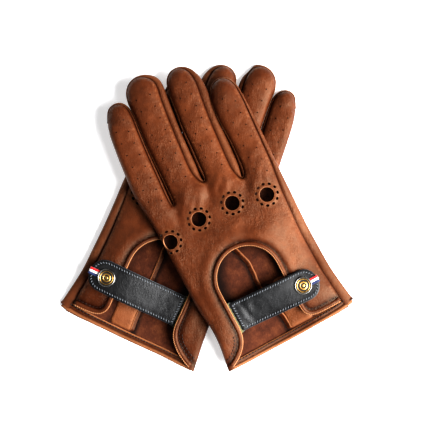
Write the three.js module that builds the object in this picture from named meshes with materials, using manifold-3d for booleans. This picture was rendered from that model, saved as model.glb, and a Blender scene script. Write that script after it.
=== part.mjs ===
// A pair of leather driving gloves, palms down, the left glove lying across the right one.
// Millimetres, +Z up. The origin is on the table, under the middle of the pair.
// Each glove is built in its own frame: +X towards the index finger, +Y towards the fingertips,
// with the origin at the middle of the cuff. The right glove is the mirror image of the left.
import * as THREE from "three";
import { mergeVertices } from "three/addons/utils/BufferGeometryUtils.js";
import Module from "manifold-3d";

const wasm = await Module();
wasm.setup();

// ---- driving dimensions ------------------------------------------------------------------
const LEATHER = 1.0; // glove leather
const LINING = 0.6; // strap lining
const STRAP = 0.9; // strap leather
const GAP = 0.3; // clearance between pieces that are sewn or pressed together
const HAND_WIDTH = 112; // flat width of the hand, fold to side
const CUFF = -2.5; // palm edge at the cuff
const BACK_EDGE = 9.0; // height of the back leather's mid surface at its seams
const BACK_CROWN = 1.5; // how much higher the middle of the hand stands
const FINGER_EDGE = 8.2; // the same two heights on a finger
const FINGER_CROWN = 10.8;
const FINGERTIP = 2.6;
const PALM = 0.6; // height of the palm leather's mid surface
const SEAM_X = 46.5; // seam between the back and the side strip
const FOLD = { x: -HAND_WIDTH / 2, radius: 4, low: 2.2 }; // fold down the little-finger side
const SHOULDER = 0.5; // share of a finger strip's rows before its tip starts to round
const CAP_TURN = (80 * Math.PI) / 180; // how far round the modelled tip goes
const BINDING = 5; // width of the bound edge round the back opening
const HOLE_RADIUS = 6; // knuckle holes
const KNUCKLES = [[-48.5, 111.8], [-21.9, 117.2], [7.4, 116.1], [34.8, 109.2]];
const THUMB = { root: [30, 26], tip: [27, 72], half: 11.5, rise: 3.6 }; // thumb folded under the palm
const SNAP = { cap: 7.3, socket: 5.2, stud: 2.4, post: 1.4, hole: 1.9 }; // radii
const LIFT = { height: 12.6, from: [-55.7, 35], to: [54.6, 123], run: 58 }; // left glove over the right

// Corner pairs [left, right] of each finger's back and palm strips, and the height of the round tip.
const FINGERS = {
  little: {
    back: { base: [[-52, 133.5], [-37, 136.5]], tip: [[-48, 214], [-32.5, 215]], cap: 12 },
    palm: { base: [[-55, 133.5], [-36, 136]], tip: [[-50.5, 214], [-32, 215]], cap: 12 },
  },
  ring: {
    back: { base: [[-31, 138], [-9, 146]], tip: [[-26.5, 224], [-2, 223]], cap: 16 },
    palm: { base: [[-33, 137.3], [-4.2, 143.5]], tip: [[-27.8, 224], [2.4, 222]], cap: 17 },
  },
  middle: {
    back: { base: [[0.5, 145.2], [20.3, 137.2]], tip: [[6, 216], [27, 214]], cap: 16 },
    palm: { base: [[-0.8, 143.5], [26.8, 133]], tip: [[4.5, 216], [31.4, 213]], cap: 16.5 },
  },
  index: {
    back: { base: [[30.8, 134.2], [49.5, 131.2]], tip: [[34.2, 195], [52, 197]], cap: 13 },
    palm: { base: [[29.6, 132.5], [52.5, 131.2]], tip: [[33.2, 195], [54, 196]], cap: 13.5 },
  },
};
// Top edges of the hand's back and palm, from the fold to the side: finger bases and the crotches between.
const BACK_TOP = [[-60, 133], [-52, 133], [-37, 136], [-34, 134], [-31, 137.5], [-9, 145.5], [-4.5, 141.5],
  [0.5, 144.7], [20.3, 136.7], [25.5, 131], [30.8, 133.7], [49.5, 130.7], [60, 130.7]];
const PALM_TOP = [[-60, 133], [-55, 133], [-36, 135.5], [-34.5, 133.5], [-33, 136.8], [-4.2, 143],
  [-2.5, 141], [-0.8, 143], [26.8, 132.5], [28.2, 131], [29.6, 132], [60, 130.3]];

// The two gloves: where each lies, and how far its cuff opening and strap reach.
const GLOVES = [
  { side: "left", at: [68, -94.6], turn: 28, mirror: false, lifted: true, opening: [-34, 16.5],
    strap: { start: [34.2, 12.1], end: [31.5, 12.3], reach: 39 }, snapX: 26.4 },
  { side: "right", at: [-63.6, -95.8], turn: -24.6, mirror: true, lifted: false, opening: [-30.5, 23.2],
    strap: { start: [35.4, 12.6], end: [37, 12.6], reach: 49 }, snapX: 34.8 },
];

const COLOURS = {
  back: 0x8a4b2b, palm: 0x7a3f24, side: 0x9a5a36, binding: 0x9c5f3a, hem: 0x935534,
  strap: 0x26282c, lining: 0x33373a, anchor: 0x6f6c45, steel: 0x8d8f92, cap: 0xc9a44c, ribbon: 0xd8d8dc,
};

// ---- small helpers -----------------------------------------------------------------------
const mix = (a, b, k) => a + (b - a) * k;
const mix2 = (p, q, k) => [mix(p[0], q[0], k), mix(p[1], q[1], k)];
const smooth = (a, b, x) => THREE.MathUtils.smoothstep(x, a, b);

function polyline(points, x) {
  const last = points.findIndex((p) => p[0] >= x);
  const i = Math.max(last, 1);
  const [p, q] = [points[i - 1], points[i]];
  return mix(p[1], q[1], (x - p[0]) / (q[0] - p[0]));
}

function distanceToSegment(x, y, from, to) {
  const segment = new THREE.Line3(new THREE.Vector3(...from, 0), new THREE.Vector3(...to, 0));
  const point = new THREE.Vector3(x, y, 0);
  return segment.closestPointToPoint(point, true, new THREE.Vector3()).distanceTo(point);
}

// How much the folded thumb raises the leather above it: fully within near of the thumb,
// not at all past far.
const thumbRise = (x, y, near, far) =>
  THUMB.rise * (1 - smooth(near, far, distanceToSegment(x, y, THUMB.root, THUMB.tip)));

// How much the left glove is raised where it lies on the right one, in the left glove's frame.
function lift(x, y) {
  const along = new THREE.Vector2(LIFT.to[0] - LIFT.from[0], LIFT.to[1] - LIFT.from[1]).normalize();
  const past = (y - LIFT.from[1]) * along.x - (x - LIFT.from[0]) * along.y;
  return LIFT.height * smooth(-LIFT.run, 2, past);
}

// A closed sheet of even thickness around the surface mid(s, t), with s and t from 0 to 1.
function sheet(rows, columns, mid, thickness = LEATHER) {
  const step = 1e-3;
  const at = (s, t) => new THREE.Vector3(...mid(s, t));
  const normal = (s, t) => {
    const ds = at(Math.min(s + step, 1), t).sub(at(Math.max(s - step, 0), t));
    const dt = at(s, Math.min(t + step, 1)).sub(at(s, Math.max(t - step, 0)));
    return ds.cross(dt).normalize();
  };
  const position = [];
  for (const sign of [0.5, -0.5])
    for (let i = 0; i <= rows; i++)
      for (let j = 0; j <= columns; j++) {
        const [s, t] = [i / rows, j / columns];
        position.push(...at(s, t).addScaledVector(normal(s, t), sign * thickness));
      }
  const upper = (i, j) => i * (columns + 1) + j;
  const lower = (i, j) => upper(i, j) + (rows + 1) * (columns + 1);
  const index = [];
  for (let i = 0; i < rows; i++)
    for (let j = 0; j < columns; j++) {
      index.push(upper(i, j), upper(i + 1, j), upper(i + 1, j + 1));
      index.push(upper(i, j), upper(i + 1, j + 1), upper(i, j + 1));
      index.push(lower(i, j), lower(i + 1, j + 1), lower(i + 1, j));
      index.push(lower(i, j), lower(i, j + 1), lower(i + 1, j + 1));
    }
  const rim = [];
  for (let i = 0; i < rows; i++) rim.push([i, 0]);
  for (let j = 0; j < columns; j++) rim.push([rows, j]);
  for (let i = rows; i > 0; i--) rim.push([i, columns]);
  for (let j = columns; j > 0; j--) rim.push([0, j]);
  rim.forEach((a, k) => {
    const b = rim[(k + 1) % rim.length];
    index.push(upper(...a), lower(...a), lower(...b));
    index.push(upper(...a), lower(...b), upper(...b));
  });
  const geometry = new THREE.BufferGeometry();
  geometry.setAttribute("position", new THREE.Float32BufferAttribute(position, 3));
  geometry.setIndex(index);
  return geometry;
}

function solid(geometry) {
  const bare = geometry.clone();
  bare.deleteAttribute("normal");
  bare.deleteAttribute("uv");
  const merged = mergeVertices(bare, 1e-4);
  return new wasm.Manifold(new wasm.Mesh({
    numProp: 3,
    vertProperties: merged.attributes.position.array,
    triVerts: new Uint32Array(merged.index.array),
  }));
}

// The geometry with the tools' volumes cut away.
function cut(geometry, ...tools) {
  const mesh = tools.reduce((body, tool) => body.subtract(solid(tool)), solid(geometry)).getMesh();
  const result = new THREE.BufferGeometry();
  result.setAttribute("position", new THREE.Float32BufferAttribute(mesh.vertProperties, 3));
  result.setIndex(new THREE.BufferAttribute(mesh.triVerts, 1));
  return result;
}

// A vertical prism over an outline, tall enough to pass through a whole glove.
function punch(outline) {
  const shape = new THREE.Shape(outline.map(([x, y]) => new THREE.Vector2(x, y)));
  return new THREE.ExtrudeGeometry(shape, { depth: 60, bevelEnabled: false }).translate(0, 0, -10);
}

const roundPunch = (x, y, radius, sides = 16) =>
  new THREE.CylinderGeometry(radius, radius, 60, sides).rotateX(Math.PI / 2).translate(x, y, 20);

// ---- the leather's shape -----------------------------------------------------------------
// Height of the back leather over the hand, between the fold and the side seam.
const backHeight = (x, y) => BACK_EDGE + BACK_CROWN * (1 - (x / 52) ** 2) + thumbRise(x, y, 9, 30);
const palmHeight = (x, y) => PALM + thumbRise(x, y, 15, 38);
const seamX = (y) => SEAM_X + 3 * smooth(95, 131, y);

// Point of a tapered strip with a round end: s from the base to the tip, t from -1 (left) to 1 (right).
function stripPoint(strip, s, t) {
  const q = Math.min(s / SHOULDER, 1);
  const left = mix2(strip.base[0], strip.tip[0], q);
  const right = mix2(strip.base[1], strip.tip[1], q);
  const turn = tipTurn(s);
  const centre = mix2(left, right, 0.5);
  const from = mix2(strip.base[0], strip.base[1], 0.5);
  const to = mix2(strip.tip[0], strip.tip[1], 0.5);
  const axis = new THREE.Vector2(to[0] - from[0], to[1] - from[1]).normalize();
  const reach = strip.cap * Math.sin(turn);
  const spread = (t * Math.cos(turn)) / 2;
  return [
    centre[0] + (right[0] - left[0]) * spread + axis.x * reach,
    centre[1] + (right[1] - left[1]) * spread + axis.y * reach,
  ];
}

const tipTurn = (s) => Math.max(0, (s - SHOULDER) / (1 - SHOULDER)) * CAP_TURN;
const fingerBackZ = (s, t) =>
  mix(FINGERTIP, mix(FINGER_CROWN, FINGER_EDGE, t * t), Math.cos(tipTurn(s)));
const fingerPalmZ = (s, t) => PALM + 0.4 * t * t + 0.8 * (tipTurn(s) / CAP_TURN) ** 2;

// Half ellipse from low on the palm side, out round the fold, to the top: k from 0 to 1.
function foldPoint(edgeX, y, top, k) {
  const turn = (k - 0.5) * Math.PI;
  const halfHeight = (top - FOLD.low) / 2;
  return [edgeX + FOLD.radius * (1 - Math.cos(turn)), y, FOLD.low + halfHeight * (1 + Math.sin(turn))];
}

const FOLD_STEPS = 4;
function handBack(glove) {
  const columns = [-46, -37, -34, -31, -20, -9, -4.5, 0.5, 10, 20.3, 25.5, 30.8, 40];
  const count = FOLD_STEPS + columns.length + 1;
  const mid = (s, t) => {
    const k = t * count;
    if (k <= FOLD_STEPS) {
      const y = mix(CUFF, polyline(BACK_TOP, FOLD.x), s);
      return foldPoint(FOLD.x, y, backHeight(FOLD.x + FOLD.radius, y), k / FOLD_STEPS);
    }
    const stops = [FOLD.x + FOLD.radius, ...columns, seamX(s * 131)];
    const i = Math.min(Math.floor(k) - FOLD_STEPS, stops.length - 2);
    const x = mix(stops[i], stops[i + 1], k - FOLD_STEPS - i);
    const y = mix(CUFF, polyline(BACK_TOP, x), s);
    return [x, y, backHeight(x, y)];
  };
  const outer = openingEdge(glove, BINDING);
  const mouth = [...outer, [70, outer.at(-1)[1]], [70, -30], [-70, -30], [-70, outer[0][1]]];
  return cut(
    sheet(14, count, mid),
    punch(mouth),
    ...KNUCKLES.map(([x, y]) => roundPunch(x, y, HOLE_RADIUS)),
    roundPunch(glove.snapX, snapY(glove), SNAP.hole, 12),
  );
}

function handPalm() {
  const columns = [-53.5, -45, -36, -34.5, -33, -18, -4.2, -2.5, -0.8, 13, 26.8, 28.2, 29.6, 40, 52.3];
  const count = columns.length - 1;
  const mid = (s, t) => {
    const i = Math.min(Math.floor(t * count), count - 1);
    const x = mix(columns[i], columns[i + 1], t * count - i);
    const y = mix(CUFF, polyline(PALM_TOP, x), s);
    return [x, y, palmHeight(x, y)];
  };
  const hole = new THREE.EllipseCurve(THUMB.root[0], THUMB.root[1] + 3, 9, 13).getPoints(16).slice(0, -1);
  return cut(sheet(13, count, mid), punch(hole.map((p) => [p.x, p.y])));
}

// A wall of leather from a low edge to a high edge, bulging out sideways by bulge.
function wall(rows, low, high, bulge, length = 1) {
  return sheet(rows, 3, (s, k) => {
    const [a, b] = [low(s * length), high(s * length)];
    return [mix(a[0], b[0], k) + bulge * Math.sin(k * Math.PI), mix(a[1], b[1], k), mix(a[2], b[2], k)];
  });
}

const sideStrip = () => wall(
  8,
  (s) => [52.6, mix(CUFF, 130.6, s), palmHeight(52.6, mix(CUFF, 130.6, s)) + 1.2],
  (s) => [seamX(s * 131) + 1.1, mix(CUFF + 8, 130.6, s), backHeight(SEAM_X, mix(CUFF, 130.6, s)) - 0.2],
  3.6,
);

// ---- fingers -----------------------------------------------------------------------------
function fingerBack(finger, folded) {
  if (!folded)
    return sheet(8, 4, (s, t) => [...stripPoint(finger.back, s, 2 * t - 1), fingerBackZ(s, 2 * t - 1)]);
  const count = FOLD_STEPS + 4;
  return sheet(8, count, (s, t) => {
    const k = t * count;
    const across = Math.max(0, (k - FOLD_STEPS) / 4) * 2 - 1;
    const [x, y] = stripPoint(finger.back, s, across);
    if (k >= FOLD_STEPS) return [x, y, fingerBackZ(s, across)];
    const top = fingerBackZ(s, -1);
    const [fx, fy, fz] = foldPoint(x - FOLD.radius, y, top, k / FOLD_STEPS);
    return [fx, fy, Math.max(fz, fingerPalmZ(s, -1) + 1.3)];
  });
}

const fingerPalm = (finger) =>
  sheet(8, 3, (s, t) => [...stripPoint(finger.palm, s, 2 * t - 1), fingerPalmZ(s, 2 * t - 1)]);

function fourchette(finger, side) {
  const reach = 0.8;
  const low = (s) => [...stripPoint(finger.palm, s, side), fingerPalmZ(s, side) + 1.25];
  const high = (s) => [...stripPoint(finger.back, s, side), fingerBackZ(s, side) - 1.35];
  return wall(8, low, high, side * 0.5, reach);
}

// ---- thumb, folded flat under the palm ---------------------------------------------------
const thumbStrip = (start) => ({
  base: [[THUMB.root[0] - THUMB.half, start], [THUMB.root[0] + THUMB.half, start]],
  tip: [[THUMB.tip[0] - THUMB.half + 1, THUMB.tip[1]], [THUMB.tip[0] + THUMB.half - 1, THUMB.tip[1]]],
  cap: 11,
});
const thumbLower = () => sheet(9, 6, (s, t) => {
  const across = 2 * t - 1;
  return [...stripPoint(thumbStrip(12), s, across), 0.6 + 0.55 * across ** 4];
});
const thumbUpper = () => sheet(7, 6, (s, t) => {
  const across = 2 * t - 1;
  return [...stripPoint(thumbStrip(43), s, across), 2.85 - 0.35 * across ** 4];
});

// ---- cuff opening, binding and hem -------------------------------------------------------
// The edge of the back opening, from the outer corner of the cuff, over the arch, to the side seam,
// moved outwards into the back leather by offset.
function openingEdge(glove, offset = 0) {
  const [left, right] = glove.opening;
  const radius = (right - left) / 2;
  const path = new THREE.Path();
  path.moveTo(-55, -1.5);
  path.bezierCurveTo(left - 9, 3, left - 0.5, 11, left, 25);
  path.lineTo(left, 58);
  path.absarc(left + radius, 58, radius, Math.PI, 0, true);
  path.lineTo(right, 20);
  path.bezierCurveTo(right - 0.5, 10, right + 3, 6, right + 12, 5.6);
  path.lineTo(47, 5.6);
  const points = path.getSpacedPoints(36);
  return points.map((p, i) => {
    const ahead = points[Math.min(i + 1, points.length - 1)];
    const behind = points[Math.max(i - 1, 0)];
    const outwards = new THREE.Vector2(behind.y - ahead.y, ahead.x - behind.x).normalize();
    return [p.x + outwards.x * offset, p.y + outwards.y * offset];
  });
}

const BINDING_START = 2; // the binding starts this many points in from the outer corner
function openingBinding(glove) {
  const inner = openingEdge(glove);
  const outer = openingEdge(glove, BINDING - GAP);
  const count = inner.length - 1 - BINDING_START;
  const binding = sheet(count, 1, (s, t) => {
    const k = s * count + BINDING_START;
    const i = Math.min(Math.floor(k), inner.length - 2);
    const a = mix2(inner[i], inner[i + 1], k - i);
    const b = mix2(outer[i], outer[i + 1], k - i);
    const [x, y] = mix2(a, b, t);
    return [x, y, backHeight(x, y)];
  });
  return cut(binding, roundPunch(glove.snapX, snapY(glove), SNAP.hole, 12));
}

const cuffHem = () => sheet(1, 12, (s, t) => {
  const [x, y] = [mix(-52, 51, t), mix(CUFF, CUFF + 6.5, s)];
  return [x, y, palmHeight(x, y) + LEATHER + 3 * GAP];
});

// ---- strap and snap ----------------------------------------------------------------------
const HINGE = 2.5; // the strap turns this far in from the edge of the opening
const strapStart = (glove) => glove.opening[0] + HINGE;
const snapY = (glove) =>
  mix(glove.strap.start[0], glove.strap.end[0],
    (glove.snapX - strapStart(glove)) / (glove.strap.reach - strapStart(glove)));
const STACK = { socket: 1.05, lining: 3.15, strap: 4.2, cap: 5.1 }; // heights above the flap's mid surface
const ANCHOR_GAP = 1.3; // room for the strap's end to turn beside its anchor
const TUCK = 1.5; // the sewn end lies this far under the flap's mid surface

function strapHeight(glove, x, layer) {
  const flap = backHeight(glove.snapX, snapY(glove));
  const tucked = backHeight(glove.opening[0], glove.strap.start[0]) - TUCK - STACK.strap;
  return mix(tucked, flap, smooth(strapStart(glove), glove.opening[1] + 4, x)) + layer;
}

function strapStrip(glove, inset) {
  const { start, end, reach } = glove.strap;
  const round = end[1] - inset;
  const foot = strapStart(glove) + 0.2;
  return {
    base: [[foot, start[0] + start[1] - inset], [foot, start[0] - start[1] + inset]],
    tip: [[reach - end[1], end[0] + round], [reach - end[1], end[0] - round]],
    cap: round,
  };
}

function strapLayer(glove, layer, thickness, inset) {
  const strip = strapStrip(glove, inset);
  const body = sheet(12, 4, (s, t) => {
    const [x, y] = stripPoint(strip, s, 2 * t - 1);
    return [x, y, strapHeight(glove, x, layer)];
  }, thickness);
  return cut(body, roundPunch(glove.snapX, snapY(glove), SNAP.hole, 12));
}

function strapAnchor(glove) {
  const [centre, half] = glove.strap.start;
  return sheet(3, 3, (s, t) => {
    const x = mix(glove.opening[0] - 12, strapStart(glove) - ANCHOR_GAP, s);
    const y = mix(centre + half, centre - half, t);
    return [x, y, Math.min(backHeight(x, y), backHeight(glove.opening[0], centre)) - TUCK - 0.1];
  }, STRAP);
}

const RIBBON = 6.6; // width of the ribbon
function ribbonTab(glove) {
  const [centre] = glove.strap.end;
  const end = glove.strap.reach + 0.3;
  const start = glove.snapX + SNAP.cap + 0.4;
  const top = strapHeight(glove, end, STACK.strap) + STRAP / 2 + 0.65;
  return sheet(6, 1, (s, t) => {
    const y = centre + mix(-RIBBON / 2, RIBBON / 2, t);
    if (s <= 0.5) return [mix(start, end, s * 2), y, top];
    const turn = (s - 0.5) * Math.PI;
    return [end + 1.0 * Math.sin(turn), y, top - 1.7 * (1 - Math.cos(turn))];
  }, 0.4);
}

const lathe = (profile, sides = 20) =>
  new THREE.LatheGeometry(profile.map(([r, z]) => new THREE.Vector2(r, z)), sides).rotateX(Math.PI / 2);

// Domed cap with a rolled rim and the post that holds the socket through the strap.
const capProfile = [[0, -2.9], [SNAP.post, -2.9], [SNAP.post, 0], [SNAP.cap - 0.6, 0], [SNAP.cap, 0.5],
  [SNAP.cap, 1.0], [SNAP.cap - 0.5, 1.5], [SNAP.cap - 2.2, 2.0], [SNAP.cap - 4.6, 2.2], [0, 2.3]];
// Socket ring: a hole for the cap's post above a wider seat for the stud.
const socketProfile = [[SNAP.post + 0.3, 1.5], [SNAP.post + 0.3, 1.3], [SNAP.stud + 0.5, 1.2],
  [SNAP.stud + 0.5, 0], [SNAP.socket, 0], [SNAP.socket, 1.1], [SNAP.socket - 0.5, 1.5], [SNAP.post + 0.3, 1.5]];
// Stud riveted through the flap: flange below, post through the leather, head above.
const studProfile = [[0, -1.5], [SNAP.socket - 0.8, -1.5], [SNAP.socket - 0.8, -0.85], [SNAP.post, -0.85],
  [SNAP.post, 0.8], [SNAP.stud, 1.0], [SNAP.stud, 1.3], [SNAP.stud - 0.7, 1.45], [0, 1.45]];

// ---- assembly ----------------------------------------------------------------------------
function finish(colour, metalness = 0, roughness = 0.55) {
  return new THREE.MeshStandardMaterial({ color: colour, metalness, roughness });
}

function buildGlove(glove) {
  const group = new THREE.Group();
  group.position.set(glove.at[0], glove.at[1], 0);
  group.rotation.z = THREE.MathUtils.degToRad(glove.turn);
  if (glove.mirror) group.scale.x = -1;

  const add = (name, geometry, material) => {
    const mesh = new THREE.Mesh(geometry, material);
    mesh.name = `${glove.side}_${name}`;
    group.add(mesh);
    return mesh;
  };
  // Leather follows the ground under it point by point; metal pieces are raised whole.
  const leather = (name, geometry, colour) => {
    const p = geometry.attributes.position;
    if (glove.lifted) {
      for (let i = 0; i < p.count; i++) p.setZ(i, p.getZ(i) + lift(p.getX(i), p.getY(i)));
    }
    add(name, geometry, finish(colour));
  };
  const metal = (name, profile, height, colour) => {
    const [x, y] = [glove.snapX, snapY(glove)];
    const mesh = add(name, lathe(profile), finish(colour, 0.9, 0.3));
    const ground = (u, v) => (glove.lifted ? lift(u, v) : 0);
    const [slopeX, slopeY] = [ground(x - 1, y) - ground(x + 1, y), ground(x, y - 1) - ground(x, y + 1)];
    const normal = new THREE.Vector3(slopeX, slopeY, 2).normalize();
    mesh.quaternion.setFromUnitVectors(new THREE.Vector3(0, 0, 1), normal);
    const above = new THREE.Vector3(0, 0, height).applyQuaternion(mesh.quaternion);
    mesh.position.set(x, y, backHeight(x, y) + ground(x, y)).add(above);
  };

  leather("hand_back", handBack(glove), COLOURS.back);
  leather("hand_palm", handPalm(), COLOURS.palm);
  leather("hand_side_strip", sideStrip(), COLOURS.side);
  for (const [name, finger] of Object.entries(FINGERS)) {
    leather(`${name}_back`, fingerBack(finger, name === "little"), COLOURS.back);
    leather(`${name}_palm`, fingerPalm(finger), COLOURS.palm);
    if (name !== "little") leather(`${name}_outer_fourchette`, fourchette(finger, -1), COLOURS.side);
    const inner = name === "index" ? "index_side_strip" : `${name}_inner_fourchette`;
    leather(inner, fourchette(finger, 1), COLOURS.side);
  }
  leather("thumb_lower", thumbLower(), COLOURS.palm);
  leather("thumb_upper", thumbUpper(), COLOURS.palm);
  leather("cuff_hem", cuffHem(), COLOURS.hem);
  leather("opening_binding", openingBinding(glove), COLOURS.binding);
  leather("strap_anchor", strapAnchor(glove), COLOURS.anchor);
  leather("strap", strapLayer(glove, STACK.strap, STRAP, 0), COLOURS.strap);
  leather("strap_lining", strapLayer(glove, STACK.lining, LINING, 0.6), COLOURS.lining);
  leather("ribbon_tab", ribbonTab(glove), COLOURS.ribbon);
  metal("snap_cap", capProfile, STACK.cap, COLOURS.cap);
  metal("snap_socket", socketProfile, STACK.socket, COLOURS.steel);
  metal("snap_stud", studProfile, 0, COLOURS.steel);
  return group;
}

// The pair, moved so that the origin is on the table under its middle.
const pair = new THREE.Group();
pair.name = "driving_gloves";
GLOVES.forEach((glove) => pair.add(buildGlove(glove)));
pair.updateMatrixWorld(true);
const box = new THREE.Box3().setFromObject(pair, true);
pair.position.set(-(box.min.x + box.max.x) / 2, -(box.min.y + box.max.y) / 2, -box.min.z);

export default pair;
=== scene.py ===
"""A pair of leather driving gloves lying crossed on a table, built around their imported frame.

Each glove is shaped in its own frame in millimetres: +u towards the index finger, +v towards the
fingertips, from the middle of the cuff. The right glove is the mirror image of the left one.
"""

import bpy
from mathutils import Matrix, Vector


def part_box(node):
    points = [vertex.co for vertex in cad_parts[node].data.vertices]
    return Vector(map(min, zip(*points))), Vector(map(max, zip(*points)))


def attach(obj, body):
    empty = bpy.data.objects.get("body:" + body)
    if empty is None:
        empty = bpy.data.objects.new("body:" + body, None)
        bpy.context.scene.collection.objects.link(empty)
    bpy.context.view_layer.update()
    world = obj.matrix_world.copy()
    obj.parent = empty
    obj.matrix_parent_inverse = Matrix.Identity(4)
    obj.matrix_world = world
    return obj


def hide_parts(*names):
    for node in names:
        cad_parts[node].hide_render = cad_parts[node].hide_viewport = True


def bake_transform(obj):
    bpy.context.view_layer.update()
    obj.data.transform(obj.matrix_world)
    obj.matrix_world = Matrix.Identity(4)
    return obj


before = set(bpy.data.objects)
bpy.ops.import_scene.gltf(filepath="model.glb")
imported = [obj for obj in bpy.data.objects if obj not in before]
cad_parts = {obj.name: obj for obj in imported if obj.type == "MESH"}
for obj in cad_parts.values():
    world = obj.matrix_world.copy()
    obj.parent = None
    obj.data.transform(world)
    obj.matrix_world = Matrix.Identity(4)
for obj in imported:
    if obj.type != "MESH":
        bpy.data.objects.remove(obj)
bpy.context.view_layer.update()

import math

import bpy
import numpy as np
from mathutils import Vector, noise
from mathutils.geometry import delaunay_2d_cdt

MM = 0.001
LEATHER = 0.9                         # thickness
BACK_EDGE, BACK_CROWN = 9.5, 1.5      # outer height of the back at its sides, and its extra in the middle
FINGER_TOP = 11.3
PALM_LOW = 0.08                       # outer height of the palm where it lies flat
FOLD_R = 5.5                          # reach of the fold down the little-finger side
FOLD_UNDER = 10.0                     # leather that goes on round the fold and under
HOLE_R = 5.8                          # knuckle holes
THUMB_ROOT, THUMB_TIP, THUMB_HALF = (30, 26), (27, 72), 11.5
LIFT_HEIGHT, LIFT_RUN = 12.6, 58      # the left glove where it lies on the right one
LIFT_FROM, LIFT_TO = (-55.7, 35), (54.6, 123)
FINGERS = ("little", "ring", "middle", "index")

# Outer edge of the hand and little finger on the folded side, from the cuff up.
FOLD_EDGE = [(-56.4, -4), (-55.6, 0), (-53.6, 18), (-54.2, 36), (-56.2, 52), (-56.6, 90), (-56.8, 132),
             (-58.2, 159), (-56.4, 179), (-53.9, 200), (-51.9, 211.5), (-49.7, 218)]
# Seam of the back leather, from the little finger's tip round every finger and down the side:
# place, width of the side leather seen beyond the seam, and height of the seam.
SEAM = [
    (-49.6, 218, 0.5, 3.6), (-47.0, 222.8, 0.9, 3.4), (-43.6, 227.2, 1.1, 3.4), (-38.4, 228.5, 1.2, 3.5),
    (-34.0, 226.6, 1.5, 3.9), (-31.4, 221.6, 1.8, 4.6), (-31.0, 213.5, 2.0, 5.8), (-32.2, 202, 2.0, 6.6),
    (-33.7, 187, 2.0, 6.8), (-34.7, 173, 2.0, 6.8), (-35.7, 158, 2.0, 6.8), (-36.5, 146, 1.9, 6.9),
    (-36.6, 140, 1.7, 7.0), (-36.0, 137.2, 1.3, 7.0), (-34.7, 135.9, 1.0, 7.0),
    (-33.5, 137.4, 1.1, 7.0), (-32.8, 141, 1.5, 7.0), (-32, 153, 1.6, 6.9), (-31.6, 166, 1.4, 6.8),
    (-30.7, 189, 0.9, 6.8), (-29.1, 204, 0.9, 6.6), (-28.3, 216, 0.9, 5.9), (-27.6, 225.6, 0.9, 4.6),
    (-25.2, 232.6, 1.0, 3.8), (-20.6, 237.4, 1.1, 3.4), (-14.6, 239.3, 1.2, 3.4), (-9, 238.2, 1.8, 3.4),
    (-4.6, 234.6, 3.0, 3.8), (-2.0, 230, 4.2, 4.6), (-2.0, 224, 4.9, 5.6), (-3.1, 218, 5.2, 6.2),
    (-5, 205, 5.5, 6.7), (-6.7, 190, 5.4, 6.8), (-8.6, 171, 5.8, 6.8), (-9.7, 157, 6.1, 6.9),
    (-9.3, 150.5, 4.9, 7.0), (-7.8, 145.4, 3.4, 7.0), (-5.8, 142.4, 1.9, 7.0), (-4, 141.4, 1.2, 7.0),
    (-2.4, 142.7, 1.5, 7.0), (-1.5, 146.6, 2.1, 7.0), (-0.8, 156, 2.4, 6.9), (0.3, 171, 2.2, 6.8),
    (1.2, 187, 1.8, 6.8), (2.8, 201, 1.2, 6.6), (4.1, 212.6, 0.9, 5.9), (5.9, 221.4, 0.9, 4.6),
    (8.6, 226.9, 1.0, 3.8), (12.8, 230.2, 1.1, 3.4), (17.9, 231, 1.2, 3.4), (22.4, 229.2, 1.8, 3.4),
    (25.6, 225, 3.0, 3.9), (26.9, 219.4, 4.4, 4.9), (26.9, 212.4, 5.6, 5.9), (25.6, 203.6, 6.7, 6.7),
    (24, 192, 6.2, 6.8), (22.4, 178, 6.3, 6.8), (21.3, 164.5, 6.8, 6.8), (20.2, 150.5, 6.9, 6.9),
    (19.9, 141, 6.4, 7.0), (20.9, 135, 4.6, 7.0), (22.4, 131.2, 2.7, 7.0), (24.2, 129.6, 1.3, 7.0),
    (26.2, 130.8, 1.5, 7.0), (27.8, 134.8, 2.0, 7.0), (29.1, 144, 1.9, 6.9), (29.7, 158, 1.3, 6.8),
    (29.6, 180, 0.9, 6.7), (30.6, 192, 0.9, 5.9), (33.2, 200, 0.9, 4.6), (37.3, 205.3, 1.0, 3.8),
    (42.6, 207.7, 1.1, 3.4), (47.6, 206.8, 1.2, 3.4), (51.2, 203.4, 1.4, 3.9), (53.2, 198, 1.7, 5.0),
    (53.7, 189, 2.0, 6.3), (52.7, 170, 2.8, 6.8), (51.2, 149, 3.7, 6.9), (50, 131, 4.1, 7.1),
    (48.3, 118, 5.2, 7.2), (47.1, 107, 6.2, 7.3), (46.3, 90, 6.5, 7.4), (45.5, 72, 7.1, 7.4),
    (45.8, 50, 7.2, 7.3), (46.4, 30, 7.0, 6.8), (47.2, 14, 7.2, 5.2), (47.6, 5.6, 7.8, 4.0),
    (48.2, 0.2, 8.4, 3.2),
]
# The lowest points between the fingers, and the index finger's base on the side: the fingers start there.
CROTCHES = [(-34.7, 135.9), (-4, 141.4), (24.2, 129.6), (50, 131)]
# The gaps between the fingers, from the lowest point up: height, and place across the hand.
GAPS = [
    [(135.9, -34.7), (158, -33.8), (189, -32.2), (204, -30.6), (216, -29.7), (240, -27)],
    [(141.4, -4), (150.5, -5.3), (171, -4.2), (190, -2.7), (205, -0.9), (218, 1), (231, 4), (240, 5)],
    [(129.6, 24.2), (150, 24.8), (178, 26), (192, 27.3), (200, 29.2), (207, 33.5), (240, 38)],
]
BACK_END = (47.6, 5.6)                # where the back's seam ends above the cuff
KNUCKLES = [(-50.4, 111.8), (-21.9, 117.2), (7.4, 116.1), (34.8, 109.2)]
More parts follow.
